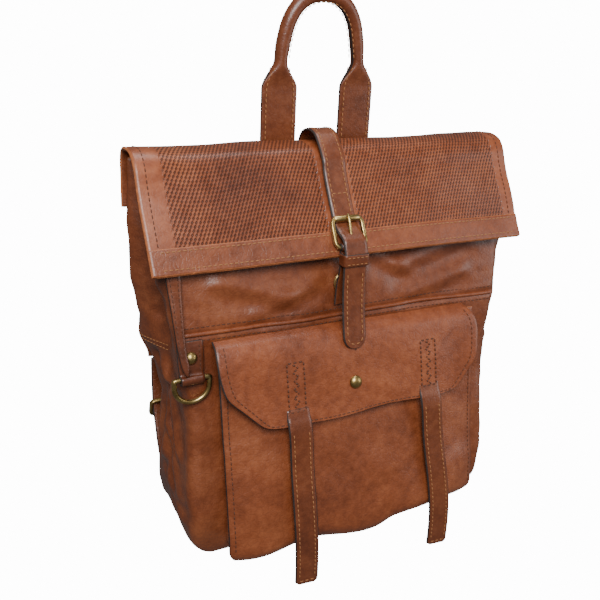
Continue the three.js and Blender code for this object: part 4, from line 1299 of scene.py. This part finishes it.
puller_ring = [(SLIDER_X + 1.2 * math.cos(a), PULLER_Y + 1.15 * math.sin(a), ZIP_Z + 3.6)
               for a in np.linspace(0, 2 * math.pi, 9)[:-1]]
pull_eye = tube("zip_puller_eye", puller_ring, 0.5, [BRASS], sides=8, closed=True)
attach(pull_eye, "zip_puller")
blade_radii = [0.5] * 4 + list(np.linspace(0.7, 2.0, 8)) + [2.1] * 8 + list(np.linspace(2.1, 0.4, 4))
blade_path = [(x, PULLER_Y, PULLER_Z) for x in (-126.6, -123, -117, -112.2)]
blade = tube("zip_puller_blade", blade_path, blade_radii, [BRASS], sides=12, count=24)
flat_z = (PULLER_Z - HANG_Z) * MM
for vertex in blade.data.vertices:
    vertex.co.z = flat_z + (vertex.co.z - flat_z) * 0.28
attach(blade, "zip_puller")
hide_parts("zip_puller")


# ---- Back: yoke, padded shoulder straps, webbing, adjusters and corner tabs ----
def plate_sheet(name, corners, radius, face_y, thick, seam=3.0, body_node=None):
    """A flat reinforcement sewn on the back: a rounded outline in x, z, its face at face_y."""
    corners = np.array(corners, float)
    n = len(corners)
    outline = []
    for i in range(n):
        a, b, c = corners[i - 1], corners[i], corners[(i + 1) % n]
        first = b + (a - b) / np.linalg.norm(a - b) * radius
        last = b + (c - b) / np.linalg.norm(c - b) * radius
        for t in np.linspace(0, 1, 7):
            outline.append((1 - t) ** 2 * first + 2 * t * (1 - t) * b + t * t * last)
    outline = curve(np.array(outline), 96, closed=True)
    middle = outline.mean(0)
    levels = np.array([0.02, 0.3, 0.55, 0.75, 0.88, 0.95, 1.0])
    grid = np.zeros((96, len(levels), 3))
    for j, level in enumerate(levels):
        grid[:, j, 0] = middle[0] + (outline[:, 0] - middle[0]) * level
        grid[:, j, 2] = middle[1] + (outline[:, 1] - middle[1]) * level
        grid[:, j, 1] = face_y - 0.5 * max(level - 0.9, 0) * 10
    turning = np.cross(grid[1, -1] - grid[0, -1], grid[0, -1] - grid[0, 0])
    piece = sheet(name, grid, thick, [LEATHER, PAINT, FLESH], wrap=True, flip=bool(turning[1] < 0))
    inner = middle + (outline - middle) * (1 - seam / np.linalg.norm(outline - middle, axis=1).min())
    run_points = np.stack([inner[:, 0], np.full(96, face_y + 0.1), inner[:, 1]], -1)
    run_points = np.vstack([run_points, run_points[:1]])
    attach(piece, "root")
    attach(stitches(name + "_stitches", [(run_points, (0, 1, 0))], DARK_THREAD), "root")
    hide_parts(body_node)


plate_sheet("yoke_patch", [(-48, -99), (48, -99), (48, -69), (-48, -69)], 7, 33.6, 2.0,
            body_node="shoulder_yoke")
for side, name in ((-1, "left"), (1, "right")):
    shape = [(100, -306), (130, -296), (134, -272), (112, -276)]
    shape = [(side * x, z) for x, z in (shape if side > 0 else shape[::-1])]
    plate_sheet(f"corner_patch_{name}", shape, 4, 33.6, 2.0, body_node=f"corner_tab_{name}")

PAD_PATH = [(26, 39, -70), (52, 50, -74), (92, 66, -95), (116, 72, -138), (122, 69, -188)]
WEB_PATH = [(122.5, 66.8, -188), (123.4, 63.2, -215), (124, 60, -232), (124, 55, -246), (124, 48, -262),
            (122, 39.5, -288)]


def strap_frame(points, count):
    """Stations along a strap in space, with the way across it and the way out of its face."""
    line = curve(points, count)
    forward = np.gradient(line, axis=0)
    forward /= np.linalg.norm(forward, axis=1, keepdims=True)
    across = np.cross(forward, (0, 1, 0))
    across /= np.linalg.norm(across, axis=1, keepdims=True)
    return line, forward, across, np.cross(across, forward)


for side, name in ((-1, "left"), (1, "right")):
    mirror = np.array((side, 1, 1))
    line, forward, across, out = strap_frame(np.array(PAD_PATH) * mirror, 120)
    travel = np.concatenate([[0], np.cumsum(np.linalg.norm(np.diff(line, axis=0), axis=1))])
    total = travel[-1]
    taper = 0.72 + 0.28 * fade(travel, 0, 26) - 0.42 * fade(travel, total - 26, total)
    verts = []
    angles = np.linspace(0, 2 * math.pi, 44, endpoint=False)
    c, s = np.cos(angles), np.sin(angles)
    for k in range(120):
        half = 21 * taper[k]
        rise_in = 0.45 * fade(travel[k], 0, 18) * (1 - fade(travel[k], total - 18, total))
        deep = 4.2 * (0.55 + rise_in)
        px = np.sign(c) * np.abs(c) ** 0.55 * half
        py = np.sign(s) * np.abs(s) ** 0.8 * deep
        seam = np.exp(-((np.abs(px) - (half - 4.2)) / 1.3) ** 2)
        py = py - np.sign(s) * seam * 1.3 * (np.abs(s) > 0.15)
        py += 0.25 * np.sin(travel[k] / 3.3 + px / 9) * (np.abs(px) > half - 6)
        verts.append(line[k] + across[k] * px[:, None] + out[k] * py[:, None])
    verts = np.array(verts)
    ids = np.arange(120 * 44).reshape(-1, 44)
    nxt = np.roll(ids, -1, 1)
    faces = np.stack([ids[:-1], nxt[:-1], nxt[1:], ids[1:]], -1).reshape(-1, 4).tolist()
    faces += [ids[0, ::-1].tolist(), ids[-1].tolist()]
    pad = make_mesh(f"shoulder_pad_{name}", at(verts.reshape(-1, 3)), faces, [LEATHER], sharp=70)
    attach(pad, "root")
    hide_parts(f"shoulder_strap_{name}")
    rows = []
    for sign in (-1, 1):
        for face in (-1, 1):
            off = (21 * taper[4:-4] - 4.2)[:, None] * sign
            rise = (4.2 * 0.62)
            rows.append((line[4:-4] + across[4:-4] * off + out[4:-4] * face * rise, out[4:-4] * face))
    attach(stitches(f"shoulder_pad_{name}_stitches", rows, DARK_THREAD), "root")

    line, forward, across, out = strap_frame(np.array(WEB_PATH) * mirror, 90)
    grid = line[None] + across[None] * np.linspace(-9, 9, 9)[:, None, None] + out[None] * 1.2
    grid = grid + out[None] * 0.5 * np.sin(np.linspace(0, 9, 90))[None, :, None]
    web = strap_piece(f"lower_strap_{name}_soft", grid, 2.4, flip=False)
    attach(web, "root")
    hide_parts(f"lower_strap_{name}")
    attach(stitches(f"lower_strap_{name}_stitches", edge_pair(grid, 2.5, 0.1, 0.93), DARK_THREAD), "root")

    tilt = 0.3
    centre = np.array((side * 124, 60, -232))

    def by_adjuster(points):
        points = np.asarray(points, float)
        x, z, y = points[..., 0], points[..., 1], points[..., 2]
        return centre + np.stack([x, y * math.cos(tilt) - z * math.sin(tilt),
                                  y * math.sin(tilt) + z * math.cos(tilt)], -1)

    slider_frame = bar_loop(f"adjuster_{name}_frame", rounded_loop(22.6, -7.3, 7.3, 2.6), 4.2, 3.2,
                            by_adjuster, [BRASS])
    bar = tube(f"adjuster_{name}_bar", by_adjuster([(-11, 0, 2.6), (0, 0, 2.7), (11, 0, 2.6)]), 1.3, [BRASS])
    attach(slider_frame, "root")
    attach(bar, "root")
    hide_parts(f"strap_adjuster_{name}")


# ---- Camera and light ----
CAMERA_AT = (-0.301, -0.572, 0.015)
CAMERA_TURN, CAMERA_LIFT, CAMERA_ROLL = math.radians(-27.1), math.radians(21.7), math.radians(2.7)


def aim_camera():
    back = Vector((math.sin(CAMERA_TURN) * math.cos(CAMERA_LIFT),
                   -math.cos(CAMERA_TURN) * math.cos(CAMERA_LIFT),
                   math.sin(CAMERA_LIFT)))
    right = Vector((math.cos(CAMERA_TURN), math.sin(CAMERA_TURN), 0))
    up = back.cross(right)
    tilt_right = right * math.cos(CAMERA_ROLL) + up * math.sin(CAMERA_ROLL)
    tilt_up = up * math.cos(CAMERA_ROLL) - right * math.sin(CAMERA_ROLL)
    lens = bpy.data.cameras.new("camera")
    lens.lens = 47.9
    lens.sensor_width = 36
    lens.clip_start = 0.01
    camera = bpy.data.objects.new("camera", lens)
    turn = Matrix((tilt_right, tilt_up, back)).transposed().to_4x4()
    camera.matrix_world = Matrix.Translation(CAMERA_AT) @ turn
    bpy.context.scene.collection.objects.link(camera)
    bpy.context.scene.camera = camera


def soft_light(name, where, look, size, power, color=(1, 1, 1)):
    data = bpy.data.lights.new(name, "AREA")
    data.shape = "RECTANGLE"
    data.size, data.size_y = size
    data.energy = power
    data.color = color
    lamp = bpy.data.objects.new(name, data)
    aim = (Vector(look) - Vector(where)).to_track_quat("-Z", "Y").to_matrix().to_4x4()
    lamp.matrix_world = Matrix.Translation(where) @ aim
    bpy.context.scene.collection.objects.link(lamp)


ROOM_LIGHT = 0.16
SEEN_WHITE = 14.0

aim_camera()
soft_light("key light", (-0.55, -1.15, 0.75), (0, -0.05, -0.2), (0.7, 0.7), 30)
soft_light("fill light", (1.3, -0.9, 0.1), (0, -0.05, -0.2), (0.8, 1.0), 7)
soft_light("top light", (0.1, 0.1, 1.3), (0, 0, -0.1), (0.9, 0.7), 12)

world = bpy.data.worlds.new("white room")
world.use_nodes = True
sky = world.node_tree.nodes["Background"]
sky.inputs["Color"].default_value = (1, 1, 1, 1)
path = world.node_tree.nodes.new("ShaderNodeLightPath")
seen = world.node_tree.nodes.new("ShaderNodeMath")
seen.operation = "MULTIPLY_ADD"
world.node_tree.links.new(path.outputs["Is Camera Ray"], seen.inputs[0])
seen.inputs[1].default_value = SEEN_WHITE - ROOM_LIGHT
seen.inputs[2].default_value = ROOM_LIGHT
world.node_tree.links.new(seen.outputs[0], sky.inputs["Strength"])
bpy.context.scene.world = world
bpy.context.scene.render.resolution_x = 600
bpy.context.scene.render.resolution_y = 600
